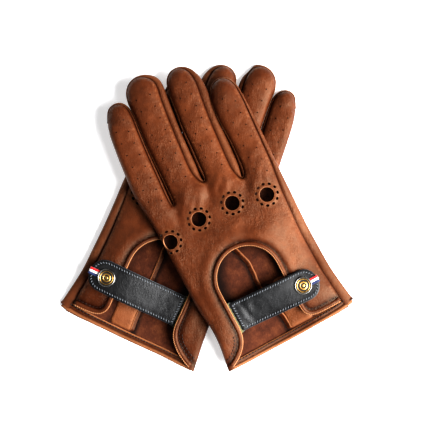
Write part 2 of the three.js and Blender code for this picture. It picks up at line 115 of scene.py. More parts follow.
# Two rows of pinholes on each finger: from, to, and how far the first hole is along.
PINHOLES = [
    ((-41.0, 141), (-37.6, 214), 3), ((-50.5, 140), (-46.5, 215), 8),
    ((-15.5, 150), (-9.2, 228), 2), ((-26.4, 146), (-21.4, 226), 7),
    ((14.2, 144), (20.2, 219), 3), ((4.8, 150), (11.0, 217), 8),
    ((43.6, 124), (48.0, 194), 2), ((34.6, 125), (39.4, 194), 7),
]
PIN_PITCH = 10.0
BEND_RUN = 22                         # a finger bends over this much of its length


def smooth(a, b, x):
    """0 up to a, 1 from b, with a soft step between."""
    t = np.clip((np.asarray(x, float) - a) / (b - a), 0, 1)
    return t * t * (3 - 2 * t)


def mix(a, b, t):
    return a + (b - a) * t


def bell(x, centre, width):
    """A smooth bump of height 1."""
    return np.exp(-((x - centre) / width) ** 2)


def spot(u, v, at, across, up):
    """A smooth bump of height 1 over a place on the hand."""
    return np.exp(-((u - at[0]) / across) ** 2 - ((v - at[1]) / up) ** 2)


def rounded(d, reach):
    """A quarter round: 0 at the edge, 1 from reach inwards."""
    return np.sqrt(1 - (1 - np.clip(d / reach, 0, 1)) ** 2)


def nearest(points, place):
    """Which of the points is nearest to a place."""
    return int(np.linalg.norm(points - place, axis=1).argmin())


def spline(points, step, closed=False):
    """A smooth curve through points of any number of values, resampled at about step along its plan."""
    p = np.array(points, float)
    n, out = len(p), []
    for i in range(n if closed else n - 1):
        p1, p2 = p[i], p[(i + 1) % n]
        p0 = p[i - 1] if closed or i else 2 * p1 - p2
        p3 = p[(i + 2) % n] if closed or i + 2 < n else 2 * p2 - p1
        k = [0.0]
        for a, b in ((p0, p1), (p1, p2), (p2, p3)):
            k.append(k[-1] + max(np.linalg.norm((b - a)[:2]), 1e-6) ** 0.5)
        t = np.linspace(k[1], k[2], 12, endpoint=False)[:, None]
        a1 = mix(p0, p1, (t - k[0]) / (k[1] - k[0]))
        a2 = mix(p1, p2, (t - k[1]) / (k[2] - k[1]))
        a3 = mix(p2, p3, (t - k[2]) / (k[3] - k[2]))
        b1 = mix(a1, a2, (t - k[0]) / (k[2] - k[0]))
        b2 = mix(a2, a3, (t - k[1]) / (k[3] - k[1]))
        out.append(mix(b1, b2, (t - k[1]) / (k[2] - k[1])))
    q = np.concatenate(out + [p[:1] if closed else p[-1:]])
    s = np.concatenate([[0], np.cumsum(np.linalg.norm(np.diff(q[:, :2], axis=0), axis=1))])
    t = np.linspace(0, s[-1], max(3, int(round(s[-1] / step))) + 1)
    r = np.stack([np.interp(t, s, q[:, k]) for k in range(q.shape[1])], 1)
    return r[:-1] if closed else r


def distance(points, line, closed=False):
    """Each point's distance from a polyline."""
    a = np.asarray(line, float)[:, :2]
    b = np.roll(a, -1, 0) if closed else a[1:]
    a = a if closed else a[:-1]
    best = np.full(len(points), 1e9)
    d = b - a
    dd = np.maximum((d * d).sum(1), 1e-12)
    for i in range(0, len(points), 1500):
        p = np.asarray(points, float)[i:i + 1500, None, :2]
        t = np.clip(((p - a) * d).sum(2) / dd, 0, 1)
        q = p - a - t[..., None] * d
        best[i:i + 1500] = np.sqrt((q * q).sum(2)).min(1)
    return best


def inside(points, loop):
    """Which points lie inside a closed polyline."""
    a = np.asarray(loop, float)[:, :2]
    b = np.roll(a, -1, 0)
    found = np.zeros(len(points), bool)
    for i in range(0, len(points), 1500):
        x, y = np.asarray(points, float)[i:i + 1500, :2].T[:, :, None]
        crosses = (a[:, 1] > y) != (b[:, 1] > y)
        with np.errstate(divide="ignore", invalid="ignore"):
            at = a[:, 0] + (y - a[:, 1]) / (b[:, 1] - a[:, 1]) * (b[:, 0] - a[:, 0])
        found[i:i + 1500] = (crosses & (x < at)).sum(1) % 2 == 1
    return found


def left_normals(line, closed=False):
    """Unit normals to the left of a polyline's direction."""
    p = np.asarray(line, float)[:, :2]
    t = np.roll(p, -1, 0) - np.roll(p, 1, 0) if closed else np.gradient(p, axis=0)
    t /= np.maximum(np.linalg.norm(t, axis=1), 1e-9)[:, None]
    return np.stack([-t[:, 1], t[:, 0]], 1)


# ---- the leather's shape ---------------------------------------------------------------------
FOLD_LINE = spline(FOLD_EDGE, 1.5)
SEAM_LINE = spline(SEAM, 1.5)
SEAM_COARSE = SEAM_LINE[::2]


def edge_u(v):
    """The outer edge on the folded side at height v of the hand."""
    return np.interp(v, FOLD_LINE[:, 1], FOLD_LINE[:, 0])


def thumb_rise(u, v, near, far):
    """How far the folded thumb lifts the leather above it."""
    d = distance(np.stack([u, v], 1), [THUMB_ROOT, THUMB_TIP])
    return 3.6 * (1 - smooth(near, far, d))


def lift(u, v):
    """How far the left glove is raised by the right one under it."""
    along = Vector((LIFT_TO[0] - LIFT_FROM[0], LIFT_TO[1] - LIFT_FROM[1])).normalized()
    past = (v - LIFT_FROM[1]) * along.x - (u - LIFT_FROM[0]) * along.y
    return LIFT_HEIGHT * smooth(-LIFT_RUN, 2, past)


def noise_at(u, v, su, sv, turn=0.0, seed=0.0):
    """Smooth noise from -1 to 1, su and sv millimetres to a wave, turned by turn degrees."""
    c, s = math.cos(math.radians(turn)), math.sin(math.radians(turn))
    a, b = (u * c + v * s) / su, (-u * s + v * c) / sv
    return np.array([noise.noise((x, y, seed)) for x, y in zip(a, b)])


def wrinkles(u, v, seed):
    """Folds and puckers of the back leather, in millimetres."""
    base = bell(v, 139, 15.0)
    finger = smooth(140, 160, v)
    hand = 1 - smooth(118, 140, v)
    z = 0.5 * noise_at(u, v, 34, 26, 20, seed)
    z += 0.5 * base * noise_at(u, v, 17, 7.5, 35, seed + 3)
    z += finger * (0.26 * noise_at(u, v, 14, 9, 15, seed + 5) + 0.12 * noise_at(u, v, 9, 3.4, 32, seed + 6))
    z += hand * 0.26 * noise_at(u, v, 19, 13, 60, seed + 9)
    for cu, cv in CROTCHES[:3]:      # a valley runs down from between the fingers
        along = smooth(cv - 24, cv - 4, v) * (1 - smooth(cv, cv + 8, v))
        z -= 1.4 * bell(u, cu + 0.16 * (v - cv), 3.4) * along
    for fu, fv, turn in ((-22, 131, 52), (6, 133, 58), (34, 126, 70)):      # puckers beside the valleys
        near = spot(u, v, (fu, fv), 9.0, 9.0)
        z += 0.7 * near * noise_at(u, v, 13, 4.2, turn, seed + 12)
        z += 0.24 * near * noise_at(u, v, 10, 2.6, turn + 12, seed + 14)
    z -= 1.1 * spot(u, v, (-6, 126), 10.0, 7.0)
    z += 1.3 * spot(u, v, (-6, 99), 15.0, 6.5)
    for fu, fv in ((-43, 137), (-19, 136), (11, 136), (39, 128)):      # the leather is full over each knuckle
        z += 1.1 * spot(u, v, (fu, fv), 9.0, 11.0)
    return 1.25 * z


def near_seam(uv, column):
    """A value given along the seam, carried to points by how near each part of the seam is."""
    found = np.zeros(len(uv))
    for i in range(0, len(uv), 1500):
        w = (np.linalg.norm(uv[i:i + 1500, None] - SEAM_COARSE[:, :2], axis=2) + 0.6) ** -4.0
        found[i:i + 1500] = (w * SEAM_COARSE[:, column]).sum(1) / w.sum(1)
    return found


def back_height(u, v, seed=1.0, wrinkled=True):
    """Outer height of the back leather over the plan point, before the fold and the left glove's lift."""
    uv = np.stack([u, v], 1)
    hand = BACK_EDGE + BACK_CROWN * (1 - (u / 52) ** 2) + 0.8 * thumb_rise(u, v, 9, 30)
    top = mix(hand, FINGER_TOP, smooth(120, 150, v))
    top = mix(4.6, top, smooth(-8, 27, v))
    if wrinkled:
        top = top + wrinkles(u, v, seed)
    d = distance(uv, SEAM_LINE)
    low = near_seam(uv, 3)
    reach = 8.6 + 4.5 * np.clip((6.6 - low) / 3.2, 0, 1) * smooth(150, 175, v)
    full = rounded(d, reach)
    return low + (top - low) * full


class Glove:
    def __init__(self, side, at, turn, mirror, lifted, opening, strap, reach, snap_u, seed):
        self.side, self.turn, self.mirror, self.lifted = side, math.radians(turn), mirror, lifted
        self.at, self.opening, self.strap = at, opening, strap
        self.reach, self.snap_u, self.seed = reach, snap_u, seed
        self.start = opening[0] + 2.5
        (y0, _), (y1, _) = strap
        self.snap_v = mix(y0, y1, (snap_u - self.start) / (reach - self.start))
        self.body = f"{side}_glove"
        self.flap = f"{side}_strap_flap"

    def raise_(self, p, fitted=True):
        """Points in the glove's frame, spread as it lies and lifted where it lies on the other one."""
        p = np.array(p, float)
        if fitted:
            u, v = p[:, 0].copy(), p[:, 1].copy()
            cuff, side, fold = 1 - smooth(0, 42, v), smooth(18, 54, u), smooth(-28, -56, u)
            hem = 1 - smooth(0, 12, v)
            if self.lifted:
                p[:, 0] += 1.9 * cuff * side - 2.6 * cuff * fold - 0.7 * smooth(120, 150, v) * fold
                p[:, 1] += 0.7 * smooth(150, 215, v) - (0.6 + 1.2 * side) * hem
            else:
                outer = smooth(2, -6, u)
                p[:, 0] += (2.6 * (1 - smooth(110, 150, v)) + 2.5 * cuff) * side
                p[:, 0] -= 4.4 * (1 - smooth(4, 62, v)) * fold
                p[:, 0] += (0.6 + 2.6 * outer) * smooth(90, 165, v)
                p[:, 1] += (4.2 + 1.0 * smooth(-30, -40, u)) * outer * smooth(120, 212, v)
                p[:, 1] -= (0.9 + 1.4 * side + 1.8 * fold) * hem
        if self.lifted:
            p[:, 2] += lift(p[:, 0], p[:, 1])
        return p

    def world(self, p):
        """Points of the glove's frame, in metres in the frame of the pair."""
        p = np.asarray(p, float)
        x = -p[:, 0] if self.mirror else p[:, 0]
        c, s = math.cos(self.turn), math.sin(self.turn)
        return MM * np.stack([self.at[0] + c * x - s * p[:, 1], self.at[1] + s * x + c * p[:, 1], p[:, 2]], 1)

    def opening_line(self, out=0.0, step=1.6):
        """The edge of the back opening from the outer corner, over the arch, to the side seam."""
        left, right = self.opening
        r = (right - left) / 2
        pts = []

        def bezier(a, b, c, d, n=10):
            for t in np.linspace(0, 1, n, endpoint=False):
                q = (1 - t) ** 3 * np.array(a) + 3 * t * (1 - t) ** 2 * np.array(b)
                pts.append(q + 3 * t * t * (1 - t) * np.array(c) + t ** 3 * np.array(d))
        bezier((-55, -1.5), (left - 9, 3), (left - 0.5, 11), (left, 25))
        pts.extend([np.array((left, y)) for y in (25, 36, 47)])
        for a in np.linspace(0, math.pi, 16):
            pts.append(np.array((left + r - r * math.cos(a), 58 + r * math.sin(a))))
        pts.extend([np.array((right, y)) for y in (46, 34)])
        bezier((right, 20), (right - 0.5, 10), (right + 3, 6), (right + 12, 5.6))
        pts.extend([np.array((right + 12, 5.6)), np.array(BACK_END)])
        line = spline(pts, step)
        return line + left_normals(line) * out


def snap_shift():
    """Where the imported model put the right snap, against the middle of the pair."""
    low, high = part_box("right_snap_cap")
    middle = (low + high) / 2 / MM
    right.at = (0.0, 0.0)
    here = right.world(np.array([[right.snap_u, right.snap_v, 0.0]]))[0] / MM
    return middle.x - here[0], middle.y - here[1]


left = Glove("left", at=(68.0, -94.6), turn=28.0, mirror=False, lifted=True, opening=(-34, 16.5),
             strap=((34.2, 12.1), (31.5, 12.3)), reach=39, snap_u=26.4, seed=1.0)
right = Glove("right", at=(-63.6, -95.8), turn=-24.6, mirror=True, lifted=False, opening=(-30.5, 23.2),
              strap=((35.4, 12.6), (37, 12.6)), reach=49, snap_u=34.8, seed=41.0)
right_at = right.at
dx, dy = snap_shift()
right.at = (dx, dy)
left.at = (left.at[0] + dx - right_at[0], left.at[1] + dy - right_at[1])


# ---- mesh building ---------------------------------------------------------------------------
def triangulate(outline, holes, spacing, rings, cuts=(), ring_holes=(), extra=()):
    """Points and triangles that fill an outline with holes, with rows of points close to the edge."""
    loops = [np.asarray(outline)[:, :2]] + [np.asarray(h)[:, :2] for h in holes]
    candidates = []
    for k, loop in enumerate(loops):
        if k and not (k - 1) in ring_holes:
            continue
        n = left_normals(loop, closed=True)
        for off in rings:
            for sign in (1, -1):
                candidates.append((loop + n * off * sign, off * 0.93, max(0.55, 0.5 * off + 0.3)))
    low, high = loops[0].min(0), loops[0].max(0)
    rows = int((high[1] - low[1]) / (spacing * 0.866)) + 1
    hexes = [(low[0] + (i + 0.5 * (j % 2)) * spacing, low[1] + j * spacing * 0.866)
             for j in range(rows) for i in range(int((high[0] - low[0]) / spacing) + 1)]
    candidates += [(np.asarray(points), 0.3, 0.3) for points in extra]
    candidates.append((np.array(hexes), spacing * 0.55, spacing * 0.62))
    kept, cells = [], {}

    def add(p, apart):
        cx, cy = int(p[0] // 2), int(p[1] // 2)
        for i in (-1, 0, 1):
            for j in (-1, 0, 1):
                for q in cells.get((cx + i, cy + j), ()):
                    if (p[0] - q[0]) ** 2 + (p[1] - q[1]) ** 2 < apart * apart:
                        return
        cells.setdefault((cx, cy), []).append(p)
        kept.append(p)

    every = np.concatenate(loops)
    for p in every:
        cells.setdefault((int(p[0] // 2), int(p[1] // 2)), []).append(tuple(p))
    cut_points = []
    for a, b in cuts:
        a, b = every[nearest(every, a)], every[nearest(every, b)]
        steps = max(2, int(np.linalg.norm(b - a) / spacing))
        line = [tuple(mix(a, b, t)) for t in np.linspace(0, 1, steps + 1)]
        cut_points.append(line)
        for p in line[1:-1]:
            cells.setdefault((int(p[0] // 2), int(p[1] // 2)), []).append(p)
    for pts, clear, apart in candidates:
        ok = inside(pts, loops[0])
        pts = pts[ok]
        gap = distance(pts, loops[0], True)
        for h in loops[1:]:
            near = np.linalg.norm(pts - h.mean(0), axis=1) < 60
            gap[near] = np.minimum(gap[near], distance(pts[near], h, True))
            gap[inside(pts, h)] = 0
        for p in pts[gap >= clear]:
            add(tuple(p), apart)
    verts, edges = [], []
    for loop in loops:
        first = len(verts)
        verts.extend(Vector(p) for p in loop)
        edges.extend((first + i, first + (i + 1) % len(loop)) for i in range(len(loop)))
    for line in cut_points:
        first = len(verts)
        verts.extend(Vector(p) for p in line)
        edges.extend((first + i, first + i + 1) for i in range(len(line) - 1))
    verts.extend(Vector(p) for p in kept)
    out, _, faces, *_ = delaunay_2d_cdt(verts, edges, [], 0, 1e-4)
    uv = np.array([tuple(p) for p in out])
    tri = np.array([f for f in faces if len(f) == 3])
    middle = uv[tri].mean(1)
    ok = inside(middle, loops[0])
    for h in loops[1:]:
        ok &= ~inside(middle, h)
    tri = tri[ok]
    a, b, c = uv[tri[:, 0]], uv[tri[:, 1]], uv[tri[:, 2]]
    area = (b[:, 0] - a[:, 0]) * (c[:, 1] - a[:, 1]) - (b[:, 1] - a[:, 1]) * (c[:, 0] - a[:, 0])
    tri[area < 0] = tri[area < 0][:, ::-1]
    tri = tri[np.abs(area) > 1e-7]
    used, tri = only(tri, len(uv))
    return uv[used], tri


def only(part, count):
    """The points that some faces use out of count, and the faces renumbered to them."""
    used = np.unique(part)
    remap = np.full(count, -1)
    remap[used] = np.arange(len(used))
    return used, remap[part]


def point_normals(p, faces):
    """A unit normal at each point, averaged over its faces by area."""
    n = np.zeros_like(p)
    f = np.asarray(faces)
    for i in range(1, f.shape[1] - 1):
        cross = np.cross(p[f[:, i]] - p[f[:, 0]], p[f[:, i + 1]] - p[f[:, 0]])
        for k in (0, i, i + 1):
            np.add.at(n, f[:, k], cross)
    return n / np.maximum(np.linalg.norm(n, axis=1), 1e-12)[:, None]


def relax(z, faces, free, times):
    """Evens a height field out over its mesh, only where free is 1."""
    f = np.asarray(faces)
    pairs = np.concatenate([f[:, [0, 1]], f[:, [1, 2]], f[:, [2, 0]]])
    for _ in range(times):
        total, count = np.zeros(len(z)), np.zeros(len(z))
        for a, b in ((0, 1), (1, 0)):
            np.add.at(total, pairs[:, a], z[pairs[:, b]])
            np.add.at(count, pairs[:, a], 1)
        z = mix(z, total / np.maximum(count, 1), 0.6 * free)
    return z


def build(name, glove, verts, faces, kinds, materials, body, replaces=(), slot=None, normals=None, **values):
    """A finished piece from points in the glove's frame. kinds gives each face's material."""
    verts = glove.world(verts)
    faces = [tuple(int(i) for i in f) for f in faces]
    if glove.mirror:
        faces = [f[::-1] for f in faces]
    mesh = bpy.data.meshes.new(name)
    mesh.from_pydata([tuple(v) for v in verts], [], faces)
    for m in materials:
        mesh.materials.append(m)
    mesh.polygons.foreach_set("material_index", np.asarray(kinds, np.int32))
    mesh.polygons.foreach_set("use_smooth", np.ones(len(faces), bool))
    for key, value in values.items():
        mesh.attributes.new(key, "FLOAT", "POINT").data.foreach_set("value", np.asarray(value, np.float32))
    mesh.update()
    if normals is not None:
        c, s = math.cos(glove.turn), math.sin(glove.turn)
        n = np.array(normals, float)
        if glove.mirror:
            n[:, 0] *= -1
        n = np.stack([c * n[:, 0] - s * n[:, 1], s * n[:, 0] + c * n[:, 1], n[:, 2]], 1)
        own = np.array([tuple(p.normal) for p in mesh.polygons])
        loops = np.zeros((len(mesh.loops), 3))
        for p, kind in zip(mesh.polygons, kinds):
            for k in p.loop_indices:
                loops[k] = own[p.index] if kind == 2 else n[mesh.loops[k].vertex_index]
        mesh.normals_split_custom_set([tuple(v) for v in loops])
    obj = bpy.data.objects.new(name, mesh)
    bpy.context.scene.collection.objects.link(obj)
    if replaces:
        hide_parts(*replaces)
    if isinstance(body, str):
        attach(obj, body)
    else:
        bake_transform(obj)
    return obj


def shell(outer, faces, thickness, normals=None, inner=None):
    """Closed leather between an outer surface and the same surface moved inwards."""
    f = np.asarray(faces)
    n = point_normals(outer, f) if normals is None else normals
    inner = outer - n * thickness if inner is None else inner
    count = len(outer)
    directed = np.concatenate([f[:, [0, 1]], f[:, [1, 2]], f[:, [2, 0]]])
    known = {(int(a), int(b)) for a, b in directed}
    rim = [(a, b) for a, b in known if (b, a) not in known]
    rim.sort()
    every = [tuple(t) for t in f] + [tuple(t[::-1] + count) for t in f]
    every += [(b, a, a + count, b + count) for a, b in rim]
    kinds = [0] * len(f) + [1] * len(f) + [2] * len(rim)
    return np.vstack([outer, inner]), every, kinds, np.vstack([n, -n])


def finger_of(uv):
    """0 to 3 for points on a finger, -1 for points on the hand."""
    u, v = np.asarray(uv).T
    ends = [(-80.0, 133.0)] + CROTCHES
    found = np.full(len(u), -1)
    for k in range(4):
        (a0, b0), (a1, b1) = ends[k], ends[k + 1]
        low = np.interp(v, *zip(*GAPS[k - 1])) if k else -200
        high = np.interp(v, *zip(*GAPS[k])) if k < 3 else 200
        beyond = v > b0 + (u - a0) / (a1 - a0) * (b1 - b0)
        found[beyond & (u > low) & (u <= high)] = k
    return found


def bend_line(glove, k):
    """The blend across a finger's base: the two bodies, and where the bend starts and ends."""
    ends = [(-56.0, 133.0)] + CROTCHES
    tips = [(-41, 220), (-14, 233), (17, 225), (43.5, 202)]
    a, b, tip = np.array(ends[k]), np.array(ends[k + 1]), np.array(tips[k], float)
    middle = (a + b) / 2
    along = (tip - middle) / np.linalg.norm(tip - middle)
    ahead = max((a - middle) @ along, (b - middle) @ along) + 0.5
    points = [list(middle + along * (ahead + far)) + [11.0] for far in (0, BEND_RUN)]
    start, end = glove.world(glove.raise_(points))
    end[2] = start[2]
    return glove.body, f"{glove.side}_{FINGERS[k]}_finger", tuple(start), tuple(end)


def body_for(glove, k):
    """The body that finger k's leather rides on, or its blend across the joint. k is -1 for the hand."""
    if k < 0 or not glove.lifted:
        return glove.body
    return bend_line(glove, k)


def leather_sheet(glove, names, outer, tri, uv, materials, thickness, slot, replaces,
                  flipped=False, **values):
    """A leather panel, cut at the finger bases on the glove whose fingers bend."""
    faces = tri[:, ::-1] if flipped else tri
    normals = point_normals(outer, faces)
    which = finger_of(uv[tri].mean(1)) if glove.lifted else np.full(len(tri), -1)
    for k in sorted(set(which)):
        used, part = only(faces[which == k], len(outer))
        v, f, kinds, n = shell(outer[used], part, thickness, normals[used])
        shown = {key: np.tile(value[used], 2) for key, value in values.items()}
        hand, finger = names
        name = hand if k < 0 else finger.format(FINGERS[k])
        groups = [replaces[k]] if glove.lifted else replaces.values()
        stands = [node for group in groups for node in group]
        build(f"{glove.side}_{name}", glove, v, f, kinds, materials, body_for(glove, k),
              [f"{glove.side}_{r}" for r in stands], slot, n, **shown)


# ---- materials -------------------------------------------------------------------------------
class Nodes:
    """A small helper round a material's node tree."""

    def __init__(self, name):
        self.material = bpy.data.materials.new(name)
        self.material.use_nodes = True
        self.tree = self.material.node_tree
        self.shader = self.tree.nodes["Principled BSDF"]
        self.place = self.add("ShaderNodeTexCoord").outputs["Object"]

    def add(self, kind, **settings):
        node = self.tree.nodes.new(kind)
        for key, value in settings.items():
            setattr(node, key, value)
        return node

    def link(self, a, b):
        self.tree.links.new(a, b)

    def scaled(self, scale, rotation=(0, 0, 0)):
        m = self.add("ShaderNodeMapping")
        m.inputs["Scale"].default_value = scale
        m.inputs["Rotation"].default_value = rotation
        self.link(self.place, m.inputs["Vector"])
        return m.outputs["Vector"]

    def noise(self, scale, detail=3, rough=0.55, vector=None):
        n = self.add("ShaderNodeTexNoise")
        n.inputs["Scale"].default_value = scale
        n.inputs["Detail"].default_value = detail
        n.inputs["Roughness"].default_value = rough
        self.link(vector or self.place, n.inputs["Vector"])
        return n.outputs["Fac"]

    def cells(self, scale, feature="DISTANCE_TO_EDGE", vector=None):
        n = self.add("ShaderNodeTexVoronoi", feature=feature)
        n.inputs["Scale"].default_value = scale
        self.link(vector or self.place, n.inputs["Vector"])
        return n.outputs["Distance"]

    def math(self, operation, a, b=None, clamp=False):
        n = self.add("ShaderNodeMath", operation=operation, use_clamp=clamp)
        for i, value in enumerate((a, b)):
            if value is None:
                continue
            if isinstance(value, (int, float)):
                n.inputs[i].default_value = value
            else:
                self.link(value, n.inputs[i])
        return n.outputs[0]

    def ramp(self, fac, stops):
        n = self.add("ShaderNodeValToRGB")
        n.color_ramp.elements[0].position, n.color_ramp.elements[0].color = stops[0][0], (*stops[0][1], 1)
        n.color_ramp.elements[1].position, n.color_ramp.elements[1].color = stops[-1][0], (*stops[-1][1], 1)
        for at, colour in stops[1:-1]:
            n.color_ramp.elements.new(at).color = (*colour, 1)
        self.link(fac, n.inputs["Fac"])
        return n.outputs["Color"]

    def blend(self, fac, a, b, mode="MIX"):
        n = self.add("ShaderNodeMix", data_type="RGBA", blend_type=mode)
        for key, value in ((0, fac), (6, a), (7, b)):
            if isinstance(value, (int, float)):
                n.inputs[key].default_value = value
            elif isinstance(value, tuple):
                n.inputs[key].default_value = (*value, 1)
            else:
                self.link(value, n.inputs[key])
        return n.outputs[2]

    def attribute(self, name):
        return self.add("ShaderNodeAttribute", attribute_name=name).outputs["Fac"]

    def bump(self, height, strength, depth, before=None):
        n = self.add("ShaderNodeBump")
        n.inputs["Strength"].default_value = strength
        n.inputs["Distance"].default_value = depth
        self.link(height, n.inputs["Height"])
        if before is not None:
            self.link(before, n.inputs["Normal"])
        return n.outputs["Normal"]

    def finish(self, colour, roughness, normal=None, **fixed):
        for key, value in (("Base Color", colour), ("Roughness", roughness), ("Normal", normal)):
            if value is None:
                continue
            if isinstance(value, (int, float)):
                self.shader.inputs[key].default_value = value
            elif isinstance(value, tuple):
                self.shader.inputs[key].default_value = (*value, 1)
            else:
                self.link(value, self.shader.inputs[key])
        for key, value in fixed.items():
            self.shader.inputs[key.replace("_", " ")].default_value = value
        return self.material


def srgb(r, g, b):
    """A colour given in display values from 0 to 255, as linear light."""
    return tuple(((c / 255 + 0.055) / 1.055) ** 2.4 if c > 10 else c / 255 / 12.92 for c in (r, g, b))


def times(colour, k):
    """A colour made k times as bright, within what a surface can be."""
    return tuple(min(1, c * k) for c in colour)


def leather(name, dark, base, light, grain=1.0, rough=0.46,
            shine=(1.0, 0.84, 0.6, 1), deepest=(1.0, 0.55, 0.3)):
    """Smooth aniline leather: cloudy colour, fine grain, faint creases, painted shade in seams and hollows,
    paler where worn and under painted highlights.
    """
    n = Nodes(name)
    cloud = n.noise(22, 4, 0.55)
    mottle = n.noise(150, 4, 0.65)
    tone = n.math("ADD", n.math("MULTIPLY", cloud, 0.6), n.math("MULTIPLY", mottle, 0.4))
    colour = n.ramp(tone, [(0.28, dark), (0.50, base), (0.72, light)])
    # colour of the painted shade: the darkest tone, darkened further and tinted
    seam = tuple(c * 0.42 * s for c, s in zip(dark, deepest))
    # painted shade in seams, grooves, hollows and round holes, from a mask painted on the points
    colour = n.blend(n.math("MULTIPLY", n.attribute("crease"), 0.92, True), colour, seam)
    # paler where worn, plus painted highlights and painted light on ridges, edges and shaded strips
    colour = n.blend(n.math("MULTIPLY", n.attribute("wear"), 0.8, True), colour, srgb(178, 122, 82))
    pores = n.ramp(n.cells(1150), [(0.0, (0, 0, 0)), (0.14, (1, 1, 1))])
    fine = n.noise(2600, 2, 0.5)
    folds = n.noise(170, 5, 0.6, n.scaled((1.0, 0.34, 1.0), (0, 0, 0.5)))
    creases = n.noise(420, 4, 0.6, n.scaled((0.4, 1.0, 1.0), (0, 0, -0.35)))
    patches = n.ramp(n.noise(38, 2, 0.5, n.scaled((1, 1, 1), (0, 0, 1.1))),
                     [(0.42, (0.25, 0.25, 0.25)), (0.6, (1, 1, 1))])
    lines = [n.noise(scale, 3, 0.55, n.scaled(stretch, (0, 0, turn))) for scale, stretch, turn in
             ((230, (1.0, 0.3, 1.0), 0.75), (310, (0.35, 1.0, 1.0), 0.45), (420, (1.0, 0.45, 1.0), -0.5))]
    lines = [n.math("ABSOLUTE", n.math("SUBTRACT", line, 0.5)) for line in lines]
    lines = [n.math("DIVIDE", line, 0.045, True) for line in lines]
    cracks = n.math("SUBTRACT", 1.0, n.math("MULTIPLY", n.math("MULTIPLY", lines[0], lines[1]), lines[2]))
    cracks = n.math("MULTIPLY", cracks, patches)
    colour = n.blend(n.math("MULTIPLY", cracks, 0.07 * grain), colour, times(dark, 0.35))
    normal = n.bump(n.math("MULTIPLY", folds, patches), 0.5 * grain, 0.0013)
    normal = n.bump(n.math("SUBTRACT", 1.0, cracks), 0.5 * grain, 0.0003, normal)
    normal = n.bump(n.math("MULTIPLY", creases, patches), 0.3 * grain, 0.0005, normal)
    normal = n.bump(pores, 0.25 * grain, 0.00012, normal)
    normal = n.bump(fine, 0.18 * grain, 0.00008, normal)
    roughness = n.math("ADD", n.math("MULTIPLY", mottle, 0.16), rough - 0.08)
    return n.finish(colour, roughness, normal, Specular_IOR_Level=0.27, Specular_Tint=shine)


def suede(name, dark, base, light):
    """The napped inside of the leather, with painted shade that makes it nearly black far inside the glove.
    """
    n = Nodes(name)
    nap = n.noise(900, 4, 0.7, n.scaled((1.0, 0.5, 1.0), (0, 0, 0.4)))
    cloud = n.noise(85, 6, 0.7)
    tone = n.math("ADD", n.math("MULTIPLY", nap, 0.3), n.math("MULTIPLY", cloud, 0.7))
    colour = n.ramp(tone, [(0.34, dark), (0.5, base), (0.68, light)])
    # painted shade: the suede darkened nearly to black far inside the glove
    colour = n.blend(n.attribute("deep"), colour, times(dark, 0.08))
    normal = n.bump(nap, 0.5, 0.0003)
    return n.finish(colour, 0.92, normal, Specular_IOR_Level=0.2, Sheen_Weight=0.25, Sheen_Roughness=0.4)


def plain(name, colour, roughness, spread=0.12, scale=900, depth=0.0001, strength=0.4, **fixed):
    """A small piece's finish: one colour with fine variation in tone and surface, and painted shade on cut
    edges inside small holes.
    """
    n = Nodes(name)
    grain = n.noise(scale, 3, 0.6)
    tone = n.ramp(grain, [(0.3, times(colour, 1 - spread)), (0.7, times(colour, 1 + spread))])
    # painted shade inside small holes: their cut edges darkened nearly to black
    tone = n.blend(n.attribute("pierced"), tone, times(colour, 0.06))
    rough = n.math("ADD", n.math("MULTIPLY", grain, 0.14), roughness - 0.07)
    return n.finish(tone, rough, n.bump(grain, strength, depth), **fixed)


def woven(name, colour):
    """Ribbon: ribs across the band with a fine weave."""
    n = Nodes(name)
    ribs = n.add("ShaderNodeTexWave", wave_type="BANDS", bands_direction="DIAGONAL")
    ribs.inputs["Scale"].default_value = 900
    ribs.inputs["Distortion"].default_value = 1.5
    n.link(n.place, ribs.inputs["Vector"])
    tone = n.ramp(ribs.outputs["Fac"], [(0.0, times(colour, 0.72)), (1.0, colour)])
    return n.finish(tone, 0.62, n.bump(ribs.outputs["Fac"], 0.5, 0.00015), Sheen_Weight=0.2)


OUTER = leather("glove_leather", srgb(66, 32, 17), srgb(88, 45, 24), srgb(110, 60, 34))
# the side strips: the back's leather painted a little lighter, as they look lit
SIDE = leather("glove_leather_sides", srgb(76, 40, 23), srgb(94, 53, 32), srgb(114, 69, 44), 1.0, 0.48)
PALM_OUT = leather("glove_leather_palm", srgb(64, 32, 17), srgb(78, 41, 22), srgb(92, 51, 29), 1.1, 0.5)
ROLL = leather("glove_leather_edging", srgb(66, 33, 18), srgb(82, 42, 23), srgb(100, 55, 32), 0.9, 0.44)
SUEDE = suede("glove_suede", srgb(52, 25, 14), srgb(76, 40, 24), srgb(104, 61, 37))
CUT = plain("cut_edge", srgb(156, 108, 72), 0.7, 0.18, 1400)
INNER_PATCH = leather("inner_patch_leather", srgb(90, 49, 28), srgb(108, 62, 37), srgb(124, 75, 47), 1.2, 0.5)
STRAP = leather("strap_leather", srgb(16, 16, 17), srgb(27, 27, 28), srgb(45, 45, 46), 0.45, 0.4,
                (1, 1, 1, 1), (0.4, 0.4, 0.4))
STRAP_EDGE = plain("strap_lining_leather", srgb(44, 48, 54), 0.5, 0.25, 1500)
STRAP_CUT = plain("strap_cut_edge", srgb(34, 37, 42), 0.55, 0.2, 1500)
STRAP_THREAD = plain("strap_thread", srgb(104, 108, 114), 0.5, 0.3, 3000)
THREAD = plain("brown_thread", srgb(34, 16, 9), 0.6, 0.3, 3000)
PALE_THREAD = plain("tan_thread", srgb(158, 112, 74), 0.5, 0.3, 3000)
OLIVE = plain("anchor_webbing", srgb(92, 90, 56), 0.8, 0.25, 1800)
NICKEL = plain("nickel", srgb(132, 130, 127), 0.3, 0.08, 700, 0.00002, 0.3, Metallic=1.0)
STEEL = plain("snap_steel", srgb(150, 150, 152), 0.34, 0.1, 900, 0.00003, 0.3, Metallic=1.0)
